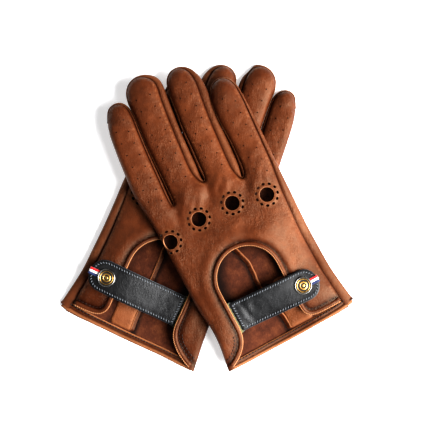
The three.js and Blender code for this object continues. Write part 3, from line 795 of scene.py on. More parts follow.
BRASS = plain("brass", srgb(196, 158, 92), 0.34, 0.12, 800, 0.00003, 0.3, Metallic=1.0)
# dark colour on the snap cap's recessed rings
ENAMEL = plain("dark_recess", srgb(30, 27, 24), 0.4, 0.3, 900, 0.00003, 0.3)
RED = woven("ribbon_red", srgb(196, 32, 34))
WHITE = woven("ribbon_white", srgb(236, 234, 232))
NAVY = woven("ribbon_navy", srgb(30, 44, 92))


# ---- back leather ----------------------------------------------------------------------------
def circle(centre, r, n, squeeze=1.0, turn=0.0):
    """An outline of n points: a circle, or an oval when squeezed."""
    a = np.linspace(0, 2 * math.pi, n, endpoint=False)
    x, y = r * np.cos(a), r * squeeze * np.sin(a)
    c, s = math.cos(turn), math.sin(turn)
    return np.stack([centre[0] + x * c - y * s, centre[1] + x * s + y * c], 1)


def pinholes():
    """The places of all pinholes in the fingers."""
    found = []
    for a, b, first in PINHOLES:
        a, b = np.array(a, float), np.array(b, float)
        length = np.linalg.norm(b - a)
        found += [tuple(mix(a, b, s / length)) for s in np.arange(first, length, PIN_PITCH)]
    return found


def closed(v):
    """How far the fold has become a plain side wall, which it does at the little fingertip."""
    return smooth(206, 217, v)


def under(v):
    """How far the leather goes on round the fold."""
    return mix(FOLD_UNDER, 0.4, closed(v))


def fold_r(v):
    """Reach of the fold at height v, which tightens towards the little fingertip."""
    return FOLD_R * (1 - 0.8 * closed(v))


def folded(u, v, top):
    """Points of the back leather, taken round the fold where they lie beyond it."""
    start = edge_u(v) + fold_r(v)
    turn = np.clip((start - u) / (fold_r(v) + under(v)), 0, 1) * math.pi
    out = np.where(turn > math.pi / 2, mix(np.sin(turn), 1, closed(v)), np.sin(turn))
    middle = (top + PALM_LOW) / 2
    x = np.where(u < start, start - fold_r(v) * out, u)
    z = np.where(u < start, middle + (top - middle) * np.cos(turn), top)
    return np.stack([x, v, z], 1)


def hole_edge(uv, holes):
    """Each point's distance from the nearest corner of a small hole's outline."""
    corners = np.vstack(holes)
    parts = [np.linalg.norm(uv[i:i + 800, None] - corners, axis=2).min(1) for i in range(0, len(uv), 800)]
    return np.concatenate(parts)


def swell(rim, v):
    """The back's swell round the opening, and the hollow beside its rolled edge."""
    return 1.2 * bell(rim, 9.5, 4.5) * smooth(8, 40, v) - 0.9 * bell(rim, 3.9, 1.0)


def make_back(g):
    """The back of the glove and its fingers: one piece of leather, folded round the outer side."""
    v = np.arange(-2.0, 217.5, 1.6)
    fold = np.stack([edge_u(v) - under(v), v], 1)
    end = nearest(SEAM_LINE[:, :2], BACK_END)
    opening = g.opening_line(1.2)[::-1]
    opening = opening[(opening[:, 0] < 46.6) & (opening[:, 0] > -49.5)]
    tail = np.array([(-50.5, -0.8), (-52.5, -1.6), (-55, -2.0), (-60, -2.1), (-63, -2.1)])
    outline = np.vstack([fold, SEAM_LINE[:end + 1, :2], opening, tail])
    holes = [circle(c, HOLE_R, 36) for c in KNUCKLES]
    for c in KNUCKLES:
        for a in np.arange(11) * 2 * math.pi / 11 + 0.3:
            at = (c[0] + 8.7 * math.cos(a), c[1] + 8.7 * math.sin(a))
            if at[0] > -61:
                holes.append(circle(at, 1.35, 10, 0.74, a + math.pi / 2))
    holes += [circle(c, 0.5, 8) for c in pinholes()]
    cuts = [((edge_u(133.0) - FOLD_UNDER, 133.0), CROTCHES[0])] + list(zip(CROTCHES, CROTCHES[1:]))
    uv, tri = triangulate(outline, holes, 1.7, (0.35, 1.0, 2.0, 3.3), cuts if g.lifted else (),
                          ring_holes=(0, 1, 2, 3), extra=[circle(c, 1.15, 8) for c in pinholes()])
    u, v = uv.T
    flat_u = np.maximum(u, edge_u(v) + fold_r(v))
    z = back_height(flat_u, v, wrinkled=False)
    seam = distance(np.stack([flat_u, v], 1), SEAM_LINE)
    rim = distance(uv, g.opening_line())
    hole = np.min([np.linalg.norm(uv - c, axis=1) for c in KNUCKLES], 0) - HOLE_R
    z = relax(z, tri, smooth(2.5, 6, seam) * smooth(0.5, 2, hole), 8)
    z += wrinkles(flat_u, v, g.seed) * smooth(0.6, 6, seam)
    z += swell(rim, v)
    z -= 0.5 * (1 - smooth(0.9, 2.6, rim))
    z += 0.45 * bell(hole, 1.2, 0.9) - 0.3 * bell(hole, 4.6, 1.2)
    seen = smooth(0.9, 2.4, near_seam(uv, 2)) * (u > edge_u(v) + FOLD_R)
    z += 0.42 * (0.3 + 0.7 * seen) * bell(seam, 1.5, 0.75)
    outer = g.raise_(folded(u, v, z))
    pin = np.min([np.linalg.norm(uv - c, axis=1) for c in pinholes()], 0)
    # painted shade: marks the cut edges of the slots round the knuckle holes and of the pinholes
    slot_edge = ((hole > 1.7) & (hole < 4.2) & (hole_edge(uv, holes[4:]) < 0.05)) | (pin < 0.7)
    # painted shade in the seam groove (strongest where the side leather shows), round the pinholes, in the
    # hollow beside the opening's rolled edge and in the ring of slots round each knuckle hole
    crease = (0.1 + 0.9 * seen) * (1 - smooth(0.2, 1.35, seam)) + 0.32 * bell(pin, 0, 0.7)
    crease += 0.75 * bell(rim, 4.1, 1.2) + 0.42 * bell(rim, 4.6, 3.2) + 0.30 * bell(hole, 2.9, 1.5)
    # painted shade over the cuff and the fingertips
    crease += 0.27 * (1 - smooth(22, 80, v)) + 0.16 * smooth(185, 232, v)      # darker cuff and fingertips
    # paler worn leather at each knuckle hole's edge, a painted highlight round its slots, and a painted
    # highlight along the seam beside its dark line
    wear = 0.4 * (1 - smooth(0.25, 0.9, hole)) + 0.16 * bell(hole, 2.9, 1.6)
    wear += 0.30 * seen * bell(seam, 1.75, 0.6)
    replaces = {k: [f"{f}_back"] for k, f in enumerate(FINGERS)}
    replaces[-1] = ["hand_back"]
    # painted shade on the back's suede up inside the hand
    leather_sheet(g, ("hand_back_leather", "{}_finger_back_leather"), outer, tri, uv, [OUTER, SUEDE, CUT],
                  LEATHER, "back_leather", replaces, crease=crease, wear=wear,
                  deep=0.6 * smooth(80, 104, v), pierced=slot_edge.astype(float))


# ---- side leather along the seams ------------------------------------------------------------
ARC = np.radians(np.linspace(128, -80, 11))


def seam_sections():
    """Rows of points across the side leather, from the back's seam to the palm's."""
    s = SEAM_LINE
    n = left_normals(s)
    for _ in range(2):
        n = np.roll(n, 1, 0) + 2 * n + np.roll(n, -1, 0)
        n /= np.linalg.norm(n, axis=1)[:, None]
    u, v, w, zs = s.T
    rise = thumb_rise(u, v, 15, 38)
    low = 0.35 + 0.55 * rise
    high = zs + 0.55 * smooth(1.0, 3.0, w)
    rx, rz = 0.62 * w, (high - low) / 2
    cx, cz = 0.38 * w, (high + low) / 2
    out = cx[:, None] + rx[:, None] * np.cos(ARC)
    z = cz[:, None] + rz[:, None] * np.sin(ARC)
    return np.stack([u[:, None] + n[:, :1] * out, v[:, None] + n[:, 1:] * out, z], 2)


def make_sides(g):
    """The side leather: one strip round each finger, and one along the hand."""
    rows = seam_sections()
    count, across = rows.shape[:2]
    marks = [nearest(SEAM_LINE[:, :2], c) for c in CROTCHES]
    cuts = [0] + marks + [count - 1]
    pucker = 0.16 * noise_at(rows[..., 0].ravel(), rows[..., 1].ravel(), 7, 3.5, 30, g.seed + 20)
    rows[..., 2] += pucker.reshape(count, across) * np.sin(np.linspace(0, math.pi, across))
    outer = g.raise_(rows.reshape(-1, 3))
    index = np.arange(count * across).reshape(count, across)
    quads = np.stack([index[:-1, :-1], index[:-1, 1:], index[1:, 1:], index[1:, :-1]], 2)
    normals = -point_normals(outer, quads.reshape(-1, 4))
    quads = quads[..., ::-1]          # turned so that they face outwards
    edge = np.abs(np.linspace(-1, 1, across)) ** 6
    # painted shade along both seams of the side leather, strongest where the strip shows wide
    crease = (0.8 * edge * (0.15 + 0.85 * smooth(0.9, 2.4, SEAM_LINE[:, 2]))[:, None]).ravel()
    # painted light on the narrow strips, lifting them where they lie in shade
    wear = np.repeat(0.22 * (1 - smooth(0.9, 2.0, SEAM_LINE[:, 2])), across)
    stands = [["little_inner_fourchette"], ["ring_outer_fourchette", "ring_inner_fourchette"],
              ["middle_outer_fourchette", "middle_inner_fourchette"],
              ["index_outer_fourchette", "index_side_strip"], ["hand_side_strip"]]
    names = [f"{f}_finger_sides" for f in FINGERS] + ["hand_side_leather"]
    for k, (a, b) in enumerate(zip(cuts, cuts[1:])):
        used, f = only(quads[a:b].reshape(-1, 4), len(outer))
        tri = np.concatenate([f[:, [0, 1, 2]], f[:, [0, 2, 3]]])
        v, fs, kinds, n = shell(outer[used], tri, LEATHER * 0.8, normals[used])
        build(f"{g.side}_{names[k]}", g, v, fs, kinds, [SIDE, SUEDE, SIDE], body_for(g, k if k < 4 else -1),
              [f"{g.side}_{s}" for s in stands[k]], "side_leather", n,
              crease=np.tile(crease[used], 2), wear=np.tile(wear[used], 2))


# ---- palm ------------------------------------------------------------------------------------
def palm_low(u, v):
    """Outer height of the palm, over the folded thumb."""
    return PALM_LOW + thumb_rise(u, v, 15, 38)


# The sewn ridge and the smooth patch inside the palm, as seen through the opening of each glove.
RIDGE = {"left": [(-12, 104), (-9.5, 90), (-6.4, 79), (-3.4, 68), (-3.6, 58), (-4.4, 47), (-2.5, 30),
                  (1.6, 16), (2.0, 5)],
         "right": [(1.0, 104), (2.4, 90), (3.2, 76), (2.4, 62), (2.2, 48), (1.2, 30), (0.9, 18), (0.0, 5)]}
PATCH = {"left": (2.6, 22.6), "right": (0.8, 18.6)}


def palm_shadow(g, u, v):
    """Where the suede is darkest: up inside the hand, beside the ridge and the patch, under the rim."""
    dark = 0.85 * smooth(74, 92, v) - 0.35 * smooth(96, 106, v)
    rim = distance(np.stack([u, v], 1), g.opening_line())
    within = (u > g.opening[0] - 4) * (u < g.opening[1] + 4) * (v < 92) * smooth(8, 30, v)
    near_left = 1 - smooth(g.opening[0] + 8, g.opening[0] + 20, u)
    beneath = 1 - smooth(1.5, mix(6, 12, near_left), rim)
    dark = np.maximum(dark, (0.35 + 0.55 * near_left) * beneath * within)
    ridge = spline(RIDGE[g.side], 2.0)
    beside = np.interp(v, ridge[::-1, 1], ridge[::-1, 0])
    dark = np.maximum(dark, 0.95 * bell(u, beside - 2.9, 2.0) * (v < 88))
    a, b = PATCH[g.side]
    dark = np.maximum(dark, 0.85 * bell(u, a - 2.0, 2.0) * (v < 46))
    return np.maximum(dark, 0.5 * bell(u, b + 1.2, 1.6) * (v < 46))


def palm_inside(u, v):
    """Height of the suede inside of the palm."""
    return palm_low(u, v) + 1.05


def make_palm(g):
    """The palm and the underside of the fingers."""
    rows = seam_sections()
    seam = rows[:, -1, :2]
    v = np.arange(-2.4, 218, 2.2)
    fold = np.stack([edge_u(v) + (fold_r(v) - 0.3) * (1 - closed(v)) + 0.2, v], 1)
    cuff = [(50, -0.6), (40, -1.6), (25, -2.3), (5, -2.7), (-15, -2.8), (-35, -2.6), (-45, -2.5)]
    outline = np.vstack([fold, seam, cuff])
    marks = [seam[nearest(SEAM_LINE[:, :2], c)] for c in CROTCHES]
    cuts = [((edge_u(133.0) + FOLD_R - 0.3, 133.0), marks[0])] + list(zip(marks, marks[1:]))
    uv, tri = triangulate(outline, [], 2.4, (0.5, 1.6, 3.0), cuts if g.lifted else ())
    u, v = uv.T
    d = distance(uv, seam)
    low = palm_low(u, v)
    edge = 0.45 + 0.55 * thumb_rise(u, v, 15, 38)
    z = edge + (low - edge) * rounded(d, 3.5)
    z += 0.25 * smooth(4, 12, d) * np.maximum(0, noise_at(u, v, 26, 20, 10, g.seed + 30))
    outer = g.raise_(np.stack([u, v, z], 1))
    replaces = {k: [f"{f}_palm"] for k, f in enumerate(FINGERS)}
    replaces[-1] = ["hand_palm"]
    # painted shade along the palm's seam, and painted shadow on its suede
    leather_sheet(g, ("palm_leather", "{}_finger_palm_leather"), outer, tri, uv, [PALM_OUT, SUEDE, PALM_OUT],
                  1.0, "palm_leather", replaces, flipped=True,
                  crease=0.7 * (1 - smooth(0.2, 1.6, d)), wear=np.zeros(len(u)), deep=palm_shadow(g, u, v))


def make_thumb(g):
    """The thumb, folded flat under the palm: a lower and an upper piece sewn round the edge."""
    (u0, v0), (u1, v1) = THUMB_ROOT, THUMB_TIP
    h = THUMB_HALF
    loop = spline([(u0 - h + 2, v0 - 13), (u0, v0 - 15), (u0 + h - 2, v0 - 13), (u0 + h, v0 - 2),
                   (u0 + h, v0 + 20), (u1 + h + 0.4, v1 - 8), (u1 + h - 1.6, v1 + 4),
                   (u1 + 5, v1 + 10.4), (u1, v1 + 11.4), (u1 - 5, v1 + 10.4),
                   (u1 - h + 1.6, v1 + 4), (u1 - h - 0.4, v1 - 8), (u0 - h, v0 + 20),
                   (u0 - h, v0 - 2)], 1.6, closed=True)
    uv, tri = triangulate(loop, [], 2.6, (0.3, 0.9, 1.8))
    u, v = uv.T
    d = distance(uv, loop, True)
    full = rounded(d, 3.2)
    seam = 1.75
    low = seam + (0.12 - seam) * full
    high = seam + (3.25 - seam) * full + 0.12 * noise_at(u, v, 12, 8, 0, g.seed + 50) * full
    bottom, top = g.raise_(np.stack([u, v, low], 1)), g.raise_(np.stack([u, v, high + 0.05], 1))
    verts, faces, kinds, _ = shell(bottom, tri[:, ::-1], 1.0, inner=top)
    # painted shade along the thumb's sewn edge
    crease = np.tile(0.8 * (1 - smooth(0.0, 1.0, d)), 2)
    build(f"{g.side}_thumb_leather", g, verts, faces, [0] * len(kinds), [PALM_OUT], g.body,
          [f"{g.side}_thumb_lower", f"{g.side}_thumb_upper"], "palm_leather", crease=crease, wear=crease * 0)
    path = inset_path(loop, 1.5)
    marks = stitch_marks(np.vstack([path, path[:1]]), 2.8, 1.8)
    stitch(g, "thumb_stitches", marks, lambda u, v: 0.55 + 0 * u, THREAD, g.body, 0.22, up=-1,
           slot="palm_leather")


# ---- sweeps, edging, hem ---------------------------------------------------------------------
def sweep(g, name, centre, section, height, material, replaces, slot, crease, wear):
    """A closed section of (out, up) points carried along a line on the leather."""
    normals = left_normals(centre)
    section = np.asarray(section, float)
    count, across = len(centre), len(section)
    taper = np.ones(count)
    taper[0] = taper[-1] = 0.7
    pts = np.zeros((count, across, 3))
    for j, (o, h) in enumerate(section):
        pts[:, j, 0] = centre[:, 0] + normals[:, 0] * o
        pts[:, j, 1] = centre[:, 1] + normals[:, 1] * o
        pts[:, j, 2] = height + h * taper
    verts = g.raise_(pts.reshape(-1, 3))
    index = np.arange(count * across).reshape(count, across)
    faces = [(index[i, j], index[i + 1, j], index[i + 1, (j + 1) % across], index[i, (j + 1) % across])
             for i in range(count - 1) for j in range(across)]
    faces.append(tuple(index[0]))
    faces.append(tuple(index[-1][::-1]))
    x, y = section.T
    if (x * np.roll(y, -1) - np.roll(x, -1) * y).sum() > 0:
        faces = [f[::-1] for f in faces]
    return build(f"{g.side}_{name}", g, verts, faces, [0] * len(faces), [material], g.body,
                 [f"{g.side}_{r}" for r in replaces], slot,
                 crease=np.tile(crease, count), wear=np.tile(wear, count))


def opening_height(g, line, out):
    """Height of the back leather a little way out from the opening's edge."""
    at = line + left_normals(line) * out
    return back_height(np.maximum(at[:, 0], edge_u(at[:, 1]) + FOLD_R), at[:, 1], g.seed, wrinkled=False)


def make_edging(g):
    """The rolled edge round the back opening, with a row of stitches outside it."""
    line = g.opening_line(0.0, 1.5)
    line = line[(line[:, 0] > -51.5) & (line[:, 0] < 46.8)]
    z = opening_height(g, line, 2.0)
    z = np.convolve(np.pad(z, 4, mode="edge"), np.ones(9) / 9, "valid")
    n = left_normals(line)
    section = [(0.25, -1.8), (-0.1, -0.9), (-0.15, -0.1), (0.1, 0.45), (0.5, 0.7), (0.9, 0.62), (1.4, 0.95),
               (2.1, 0.95), (2.8, 0.55), (3.3, -0.1), (3.5, -0.8), (2.4, -1.3), (1.0, -1.8)]
    # a paler worn inner edge with a painted highlight on it; painted shade in the dip on the roll's top and
    # on its outer and under sides
    wear = np.array([0.3, 0.5, 0.95, 1.0, 0.6, 0, 0, 0, 0, 0, 0, 0, 0])
    crease = np.array([0.5, 0.2, 0, 0, 0, 0.45, 0, 0, 0, 0.4, 0.95, 0.9, 0.9])
    sweep(g, "opening_edging", line, section, z, ROLL, ["opening_binding"], "edge_leather", crease, wear)
    beside = line[:, 0] < g.opening[0] + 3
    rows = (("opening_stitches", 4.3, (line[:, 1] < 17) | (beside & (line[:, 1] < 50))),
            ("flap_stitches", 6.6, beside & (line[:, 1] < 22)))
    for name, out, keep in rows:
        path = (line + n * out)[keep]
        pieces = np.split(path, np.where(np.linalg.norm(np.diff(path, axis=0), axis=1) > 6)[0] + 1)
        marks = []
        for p in pieces:
            if len(p) > 4:
                marks += stitch_marks(p, 2.6, 1.8)
        stitch(g, name, marks, lambda u, v: back_surface_z(g, u, v), THREAD, g.body, 0.28,
               slot="edge_leather")

    def rim_top(u, v):
        at = np.stack([u, v], 1)
        return z[np.linalg.norm(at[:, None] - line, axis=2).argmin(1)] + 0.5
    whip = leaning(stitch_marks(line + n * 0.25, 1.45, 0.85), 0.25)
    stitch(g, "edging_stitches", whip, rim_top, PALE_THREAD, g.body, 0.34, slot="edge_leather")


def back_surface_z(g, u, v):
    """Height of the finished back, with its swell round the opening."""
    z = back_height(np.maximum(u, edge_u(v) + FOLD_R), v, g.seed)
    rim = distance(np.stack([u, v], 1), g.opening_line())
    z += swell(rim, v)
    return z


CUFF_EDGE = [(-53.5, -0.2), (-40, -0.9), (-15, -1.1), (10, -0.9), (30, 0.1), (44, 1.4), (54.6, 3.2)]


def make_hem(g):
    """The palm's edge at the cuff, folded up and stitched down."""
    line = spline(CUFF_EDGE, 1.6)
    z = palm_low(line[:, 0], line[:, 1])
    z = z + 0.16 * noise_at(line[:, 0], line[:, 1], 5, 5, 0, g.seed + 60)
    section = [(4.3, 1.1), (4.25, 1.8), (3.8, 2.25), (3.0, 2.2), (1.6, 2.35), (0.9, 1.9), (0.4, 2.45),
               (-0.5, 2.85), (-1.5, 2.6), (-2.2, 1.9), (-2.35, 1.0), (-1.7, 0.15), (-0.4, 0.03),
               (1.5, 0.03), (3.0, 0.9)]
    # painted highlights on the hem's upper edge and on its lit roll; painted shade in its groove and folds
    wear = np.array([0.2, 0.95, 0.6, 0, 0, 0, 0.15, 0.5, 0.5, 0.2, 0, 0, 0, 0, 0])
    crease = np.array([0.95, 0.1, 0, 0.45, 0.2, 1, 0.2, 0, 0, 0, 0, 0.2, 0, 0, 0.5])
    sweep(g, "cuff_hem_leather", line, section, z, ROLL, ["cuff_hem"], "edge_leather", crease, wear)
    marks = stitch_marks((line + left_normals(line) * 3.0)[3:-3], 2.5, 1.7)
    stitch(g, "hem_stitches", marks, lambda u, v: palm_low(u, v) + 2.33, THREAD, g.body, 0.4,
           slot="edge_leather")


def make_inside(g):
    """The sewn ridge and the smooth patch seen inside the palm through the opening."""
    line = spline(RIDGE[g.side], 1.3)
    line[:, 0] += 0.34 * noise_at(line[:, 0], line[:, 1], 6, 5, 0, g.seed + 70)
    section = [(1.5, -0.2), (1.4, 0.7), (0.9, 1.25), (0.1, 1.1), (-0.5, 0.3), (-2.0, 0.1), (-2.3, -0.2)]
    # painted shade beside the ridge and a painted highlight along its top
    sweep(g, "palm_seam_ridge", line, section, palm_inside(line[:, 0], line[:, 1]), INNER_PATCH, (),
          "palm_leather", crease=np.array([0.9, 0.2, 0, 0.5, 1, 1, 1]),
          wear=np.array([0, 0.2, 0.45, 0.0, 0, 0, 0]))
    a, b = PATCH[g.side]
    loop = spline([(a, 4.6), (a + 0.5, 16), (a - 0.1, 27), (a + 0.8, 40), (a + 6, 46), (b - 4, 44),
                   (b + 0.5, 30), (b, 14), (b - 0.6, 5.0), (b - 5, 4.4), (a + 5, 4.2)], 1.5, closed=True)
    uv, tri = triangulate(loop, [], 2.4, (0.5, 1.3))
    u, v = uv.T
    d = distance(uv, loop, True)
    z = palm_inside(u, v) + 0.2 + 0.9 * rounded(d, 1.1)
    z += 0.16 * noise_at(u, v, 9, 4, 70, g.seed + 80)
    outer = g.raise_(np.stack([u, v, z], 1))
    verts, faces, kinds, n = shell(outer, tri, 0.55)
    # painted shade at the patch's edge and a painted highlight just inside it
    build(f"{g.side}_inner_patch", g, verts, faces, kinds, [INNER_PATCH, SUEDE, CUT], g.body, (),
          "palm_leather", n, crease=np.tile(0.5 * (1 - smooth(0.1, 0.8, d)), 2),
          wear=np.tile(0.35 * bell(d, 0.9, 0.5), 2))


# ---- stitches --------------------------------------------------------------------------------
def stitch_marks(path, pitch, length):
    """End points of stitches along a line."""
    s = np.concatenate([[0], np.cumsum(np.linalg.norm(np.diff(path, axis=0), axis=1))])
    found = []
    for at in np.arange(0.5 * pitch, s[-1] - length, pitch):
        ends = [np.array([np.interp(t, s, path[:, k]) for k in (0, 1)]) for t in (at, at + length)]
        found.append((ends[0], ends[1]))
    return found


def leaning(marks, by):
    """Stitches turned a little across their line."""
    found = []
    for a, b in marks:
        across = np.array([-(b - a)[1], (b - a)[0]]) / np.linalg.norm(b - a)
        found.append((a - across * by, b + across * by))
    return found


def inset_path(loop, inset):
    """A closed outline moved inwards."""
    n = left_normals(loop, closed=True)
    return loop + n * inset * np.sign(((loop.mean(0) - loop) * n).sum(1).mean())


def stitch(g, name, marks, surface, material, body, radius, up=1, slot=None, fitted=True):
    """One piece of short threads, each dipping into the leather at both ends."""
    if not marks:
        return None
    along = np.array([-0.10, 0.14, 0.5, 0.86, 1.10])
    rise = np.array([-0.30, 0.14, 0.24, 0.14, -0.30])
    width = np.array([0.55, 1.0, 1.0, 1.0, 0.55])
    sides, verts, faces = 6, [], []
    for a, b in marks:
        p = a + (b - a) * along[:, None]
        z = surface(p[:, 0], p[:, 1]) + up * rise
        side = np.array([-(b - a)[1], (b - a)[0]]) / np.linalg.norm(b - a)
        first = len(verts)
        for i in range(5):
            for k in range(sides):
                t = 2 * math.pi * k / sides
                r = radius * width[i]
                x, y = p[i] + side * r * math.cos(t)
                verts.append((x, y, z[i] + r * math.sin(t)))
        for i in range(4):
            for k in range(sides):
                n = (k + 1) % sides
                c = first + i * sides
                faces.append((c + k, c + n, c + sides + n, c + sides + k))
        faces.append(tuple(first + k for k in range(sides))[::-1])
        faces.append(tuple(first + 4 * sides + k for k in range(sides)))
    return build(f"{g.side}_{name}", g, g.raise_(verts, fitted), faces, [0] * len(faces), [material],
                 body, slot=slot)


# ---- strap, snap, ribbon ---------------------------------------------------------------------
STRAP_SEAM = 1.8                      # the strap's stitches from its edge
CAP_R = 7.3                           # the snap cap's radius
STRAP_TOP = 4.75                      # the strap's upper face above the flap at the snap
TUCK = 5.7                            # how far its sewn end lies below the back's edge


def strap_level(g, u):
    """Height of the strap's upper face along the strap, before the left glove's lift."""
    flap = BACK_EDGE - 0.5 + BACK_CROWN * (1 - (g.snap_u / 52) ** 2)
    flap = flap + thumb_rise(np.array([g.snap_u]), np.array([g.snap_v]), 9, 30)[0]
    tucked = BACK_EDGE - 0.5 + BACK_CROWN * (1 - (g.opening[0] / 52) ** 2) - TUCK
    return mix(tucked, flap, smooth(g.start, g.opening[1] + 4, u)) + STRAP_TOP


def strap_outline(g, grow=0.0):
    """The strap's outline from above, with its round end."""
    (y0, h0), (y1, h1) = g.strap
    h0, h1 = h0 + grow, h1 + grow
    end = g.reach - h1 + grow
    a = np.linspace(-math.pi / 2, math.pi / 2, 22)
    blunt_u, blunt_v = 0.88, 0.94     # the round end is a little blunter than a half circle
    across = np.sign(np.sin(a)) * np.abs(np.sin(a)) ** blunt_v
    tip = np.stack([end + h1 * np.cos(a) ** blunt_u, y1 + h1 * across], 1)
    start = g.start - 0.9 - grow * 0.3
    pts = np.vstack([[(start, y0 - h0)], tip, [(start, y0 + h0)]])
    ring = np.vstack([pts, pts[:1]])
    s = np.concatenate([[0], np.cumsum(np.linalg.norm(np.diff(ring, axis=0), axis=1))])
    t = np.linspace(0, s[-1], int(s[-1] / 1.3), endpoint=False)
    return np.stack([np.interp(t, s, ring[:, k]) for k in (0, 1)], 1)


def strap_z(g, u, v, loop):
    """Height of the strap's outer leather, and each point's distance from its edge."""
    d = distance(np.stack([u, v], 1), loop, True)
    z = strap_level(g, u) - 0.55 + 0.55 * rounded(d, 1.5)
    z -= 0.3 * bell(d, 1.9, 0.5)
    z += 0.3 * smooth(2.4, 7, d)
    near = 1 - smooth(2, 26, u - g.start)
    z += (0.7 if g.lifted else 0.25) * near * noise_at(u, v, 4.2, 11, 12, g.seed + 90) * smooth(0.5, 3, d)
    z += 0.10 * noise_at(u, v, 13, 9, 30, g.seed + 91) * smooth(1, 5, d)
    return z, d


def make_strap(g):
    """The strap: its outer leather, its lining and the stitches round it."""
    loop = strap_outline(g)
    uv, tri = triangulate(loop, [], 1.5, (0.25, 0.7, 1.3, 1.9, 2.6))
    z, d = strap_z(g, uv[:, 0], uv[:, 1], loop)
    outer = g.raise_(np.column_stack([uv, z]), False)
    verts, faces, kinds, n = shell(outer, tri, 0.85)
    # painted shade in the stitch groove and towards the edges, which leaves the middle looking lit
    crease = 0.6 * bell(d, 1.9, 0.5) + 0.55 * (1 - smooth(1.5, 6.5, d))
    build(f"{g.side}_strap_leather", g, verts, faces, kinds, [STRAP, STRAP_CUT, STRAP_CUT], g.flap,
          [f"{g.side}_strap"], "strap_leather", n, crease=np.tile(crease, 2), wear=np.zeros(2 * len(d)))
    grown = strap_outline(g, 0.4)
    uv, tri = triangulate(grown, [], 2.4, (0.25, 0.8))
    u, v = uv.T
    d = distance(uv, grown, True)
    z = strap_level(g, u) - 1.55 + 0.35 * rounded(d, 0.6)
    outer = g.raise_(np.column_stack([uv, z]), False)
    verts, faces, kinds, n = shell(outer, tri, 0.6)
    build(f"{g.side}_strap_lining_leather", g, verts, faces, kinds, [STRAP_EDGE, STRAP_CUT, STRAP_EDGE],
          g.flap, [f"{g.side}_strap_lining"], "strap_lining", n)
    path = inset_path(loop, STRAP_SEAM)
    path = path[distance(path, loop, True) > STRAP_SEAM * 0.93]
    marks = [(a, b) for a, b in leaning(stitch_marks(np.vstack([path, path[:1]]), 2.25, 1.1), 0.62)
             if np.linalg.norm((a + b) / 2 - (g.snap_u, g.snap_v)) > CAP_R + 0.3]
    stitch(g, "strap_stitches", marks, lambda u, v: strap_z(g, u, v, loop)[0], STRAP_THREAD, g.flap, 0.3,
           slot="strap_leather", fitted=False)


def make_anchor(g):
    """The webbing tab that the strap is sewn to, seen as a sliver between the strap and the edging."""
    (y0, h0), _ = g.strap
    left_u = g.opening[0] - 7
    right_u = g.start + 2.6
    loop = spline([(left_u, y0 - h0), (right_u, y0 - h0 + 0.4), (right_u + 0.2, y0), (right_u, y0 + h0 - 0.4),
                   (left_u, y0 + h0), (left_u - 1, y0)], 1.4, closed=True)
    uv, tri = triangulate(loop, [], 2.2, (0.6,))
    u = uv[:, 0]
    z = strap_level(g, np.full(len(u), g.start)) - 1.2 - 0.91 * smooth(g.start - 1, g.start + 1.5, u)
    outer = g.raise_(np.column_stack([uv, z]), False)
    verts, faces, kinds, n = shell(outer, tri, 0.7)
    dark = uv[tri].mean(1)[:, 0] > g.opening[0] + 1.3
    kinds = [int(d) for d in dark] + kinds[len(tri):]
    build(f"{g.side}_strap_anchor_webbing", g, verts, faces, kinds, [OLIVE, STRAP, STRAP], g.body,
          [f"{g.side}_strap_anchor"], "anchor_tab", n)


def snap_axis(g):
    """The snap's axis in the glove's frame, which leans where the left glove slopes."""
    u, v = g.snap_u, g.snap_v
    e = 1.0
    slope = np.zeros(2)
    if g.lifted:
        h = lambda a, b: float(lift(np.array([a]), np.array([b]))[0])
        slope = np.array([(h(u + e, v) - h(u - e, v)) / 2, (h(u, v + e) - h(u, v - e)) / 2])
    axis = np.array([-slope[0], -slope[1], 1.0])
    return axis / np.linalg.norm(axis)


def turned(g, name, profile, materials, kinds, height, body, replaces, slot, sides=64):
    """A turned piece on the snap's axis, from (radius, height) points."""
    axis = snap_axis(g)
    x = np.cross([0, 1, 0], axis)
    x /= np.linalg.norm(x)
    y = np.cross(axis, x)
    foot = g.raise_([[g.snap_u, g.snap_v, height]], False)[0]
    pts, rings = [], []
    for r, z in profile:
        ring = []
        for k in range(sides if r > 1e-6 else 1):
            a = 2 * math.pi * k / sides
            pts.append(foot + x * r * math.cos(a) + y * r * math.sin(a) + axis * z)
            ring.append(len(pts) - 1)
        rings.append(ring)
    faces, out = [], []
    for i, (p, q) in enumerate(zip(rings, rings[1:])):
        for k in range(sides):
            n = (k + 1) % sides
            if len(p) == 1:
                f = (p[0], q[k], q[n])
            elif len(q) == 1:
                f = (p[k], q[0], p[n])
            else:
                f = (p[k], q[k], q[n], p[n])
            faces.append(f[::-1])
            out.append(kinds[i])
    return build(f"{g.side}_{name}", g, pts, faces, out, materials, body,
                 [f"{g.side}_{r}" for r in replaces], slot)


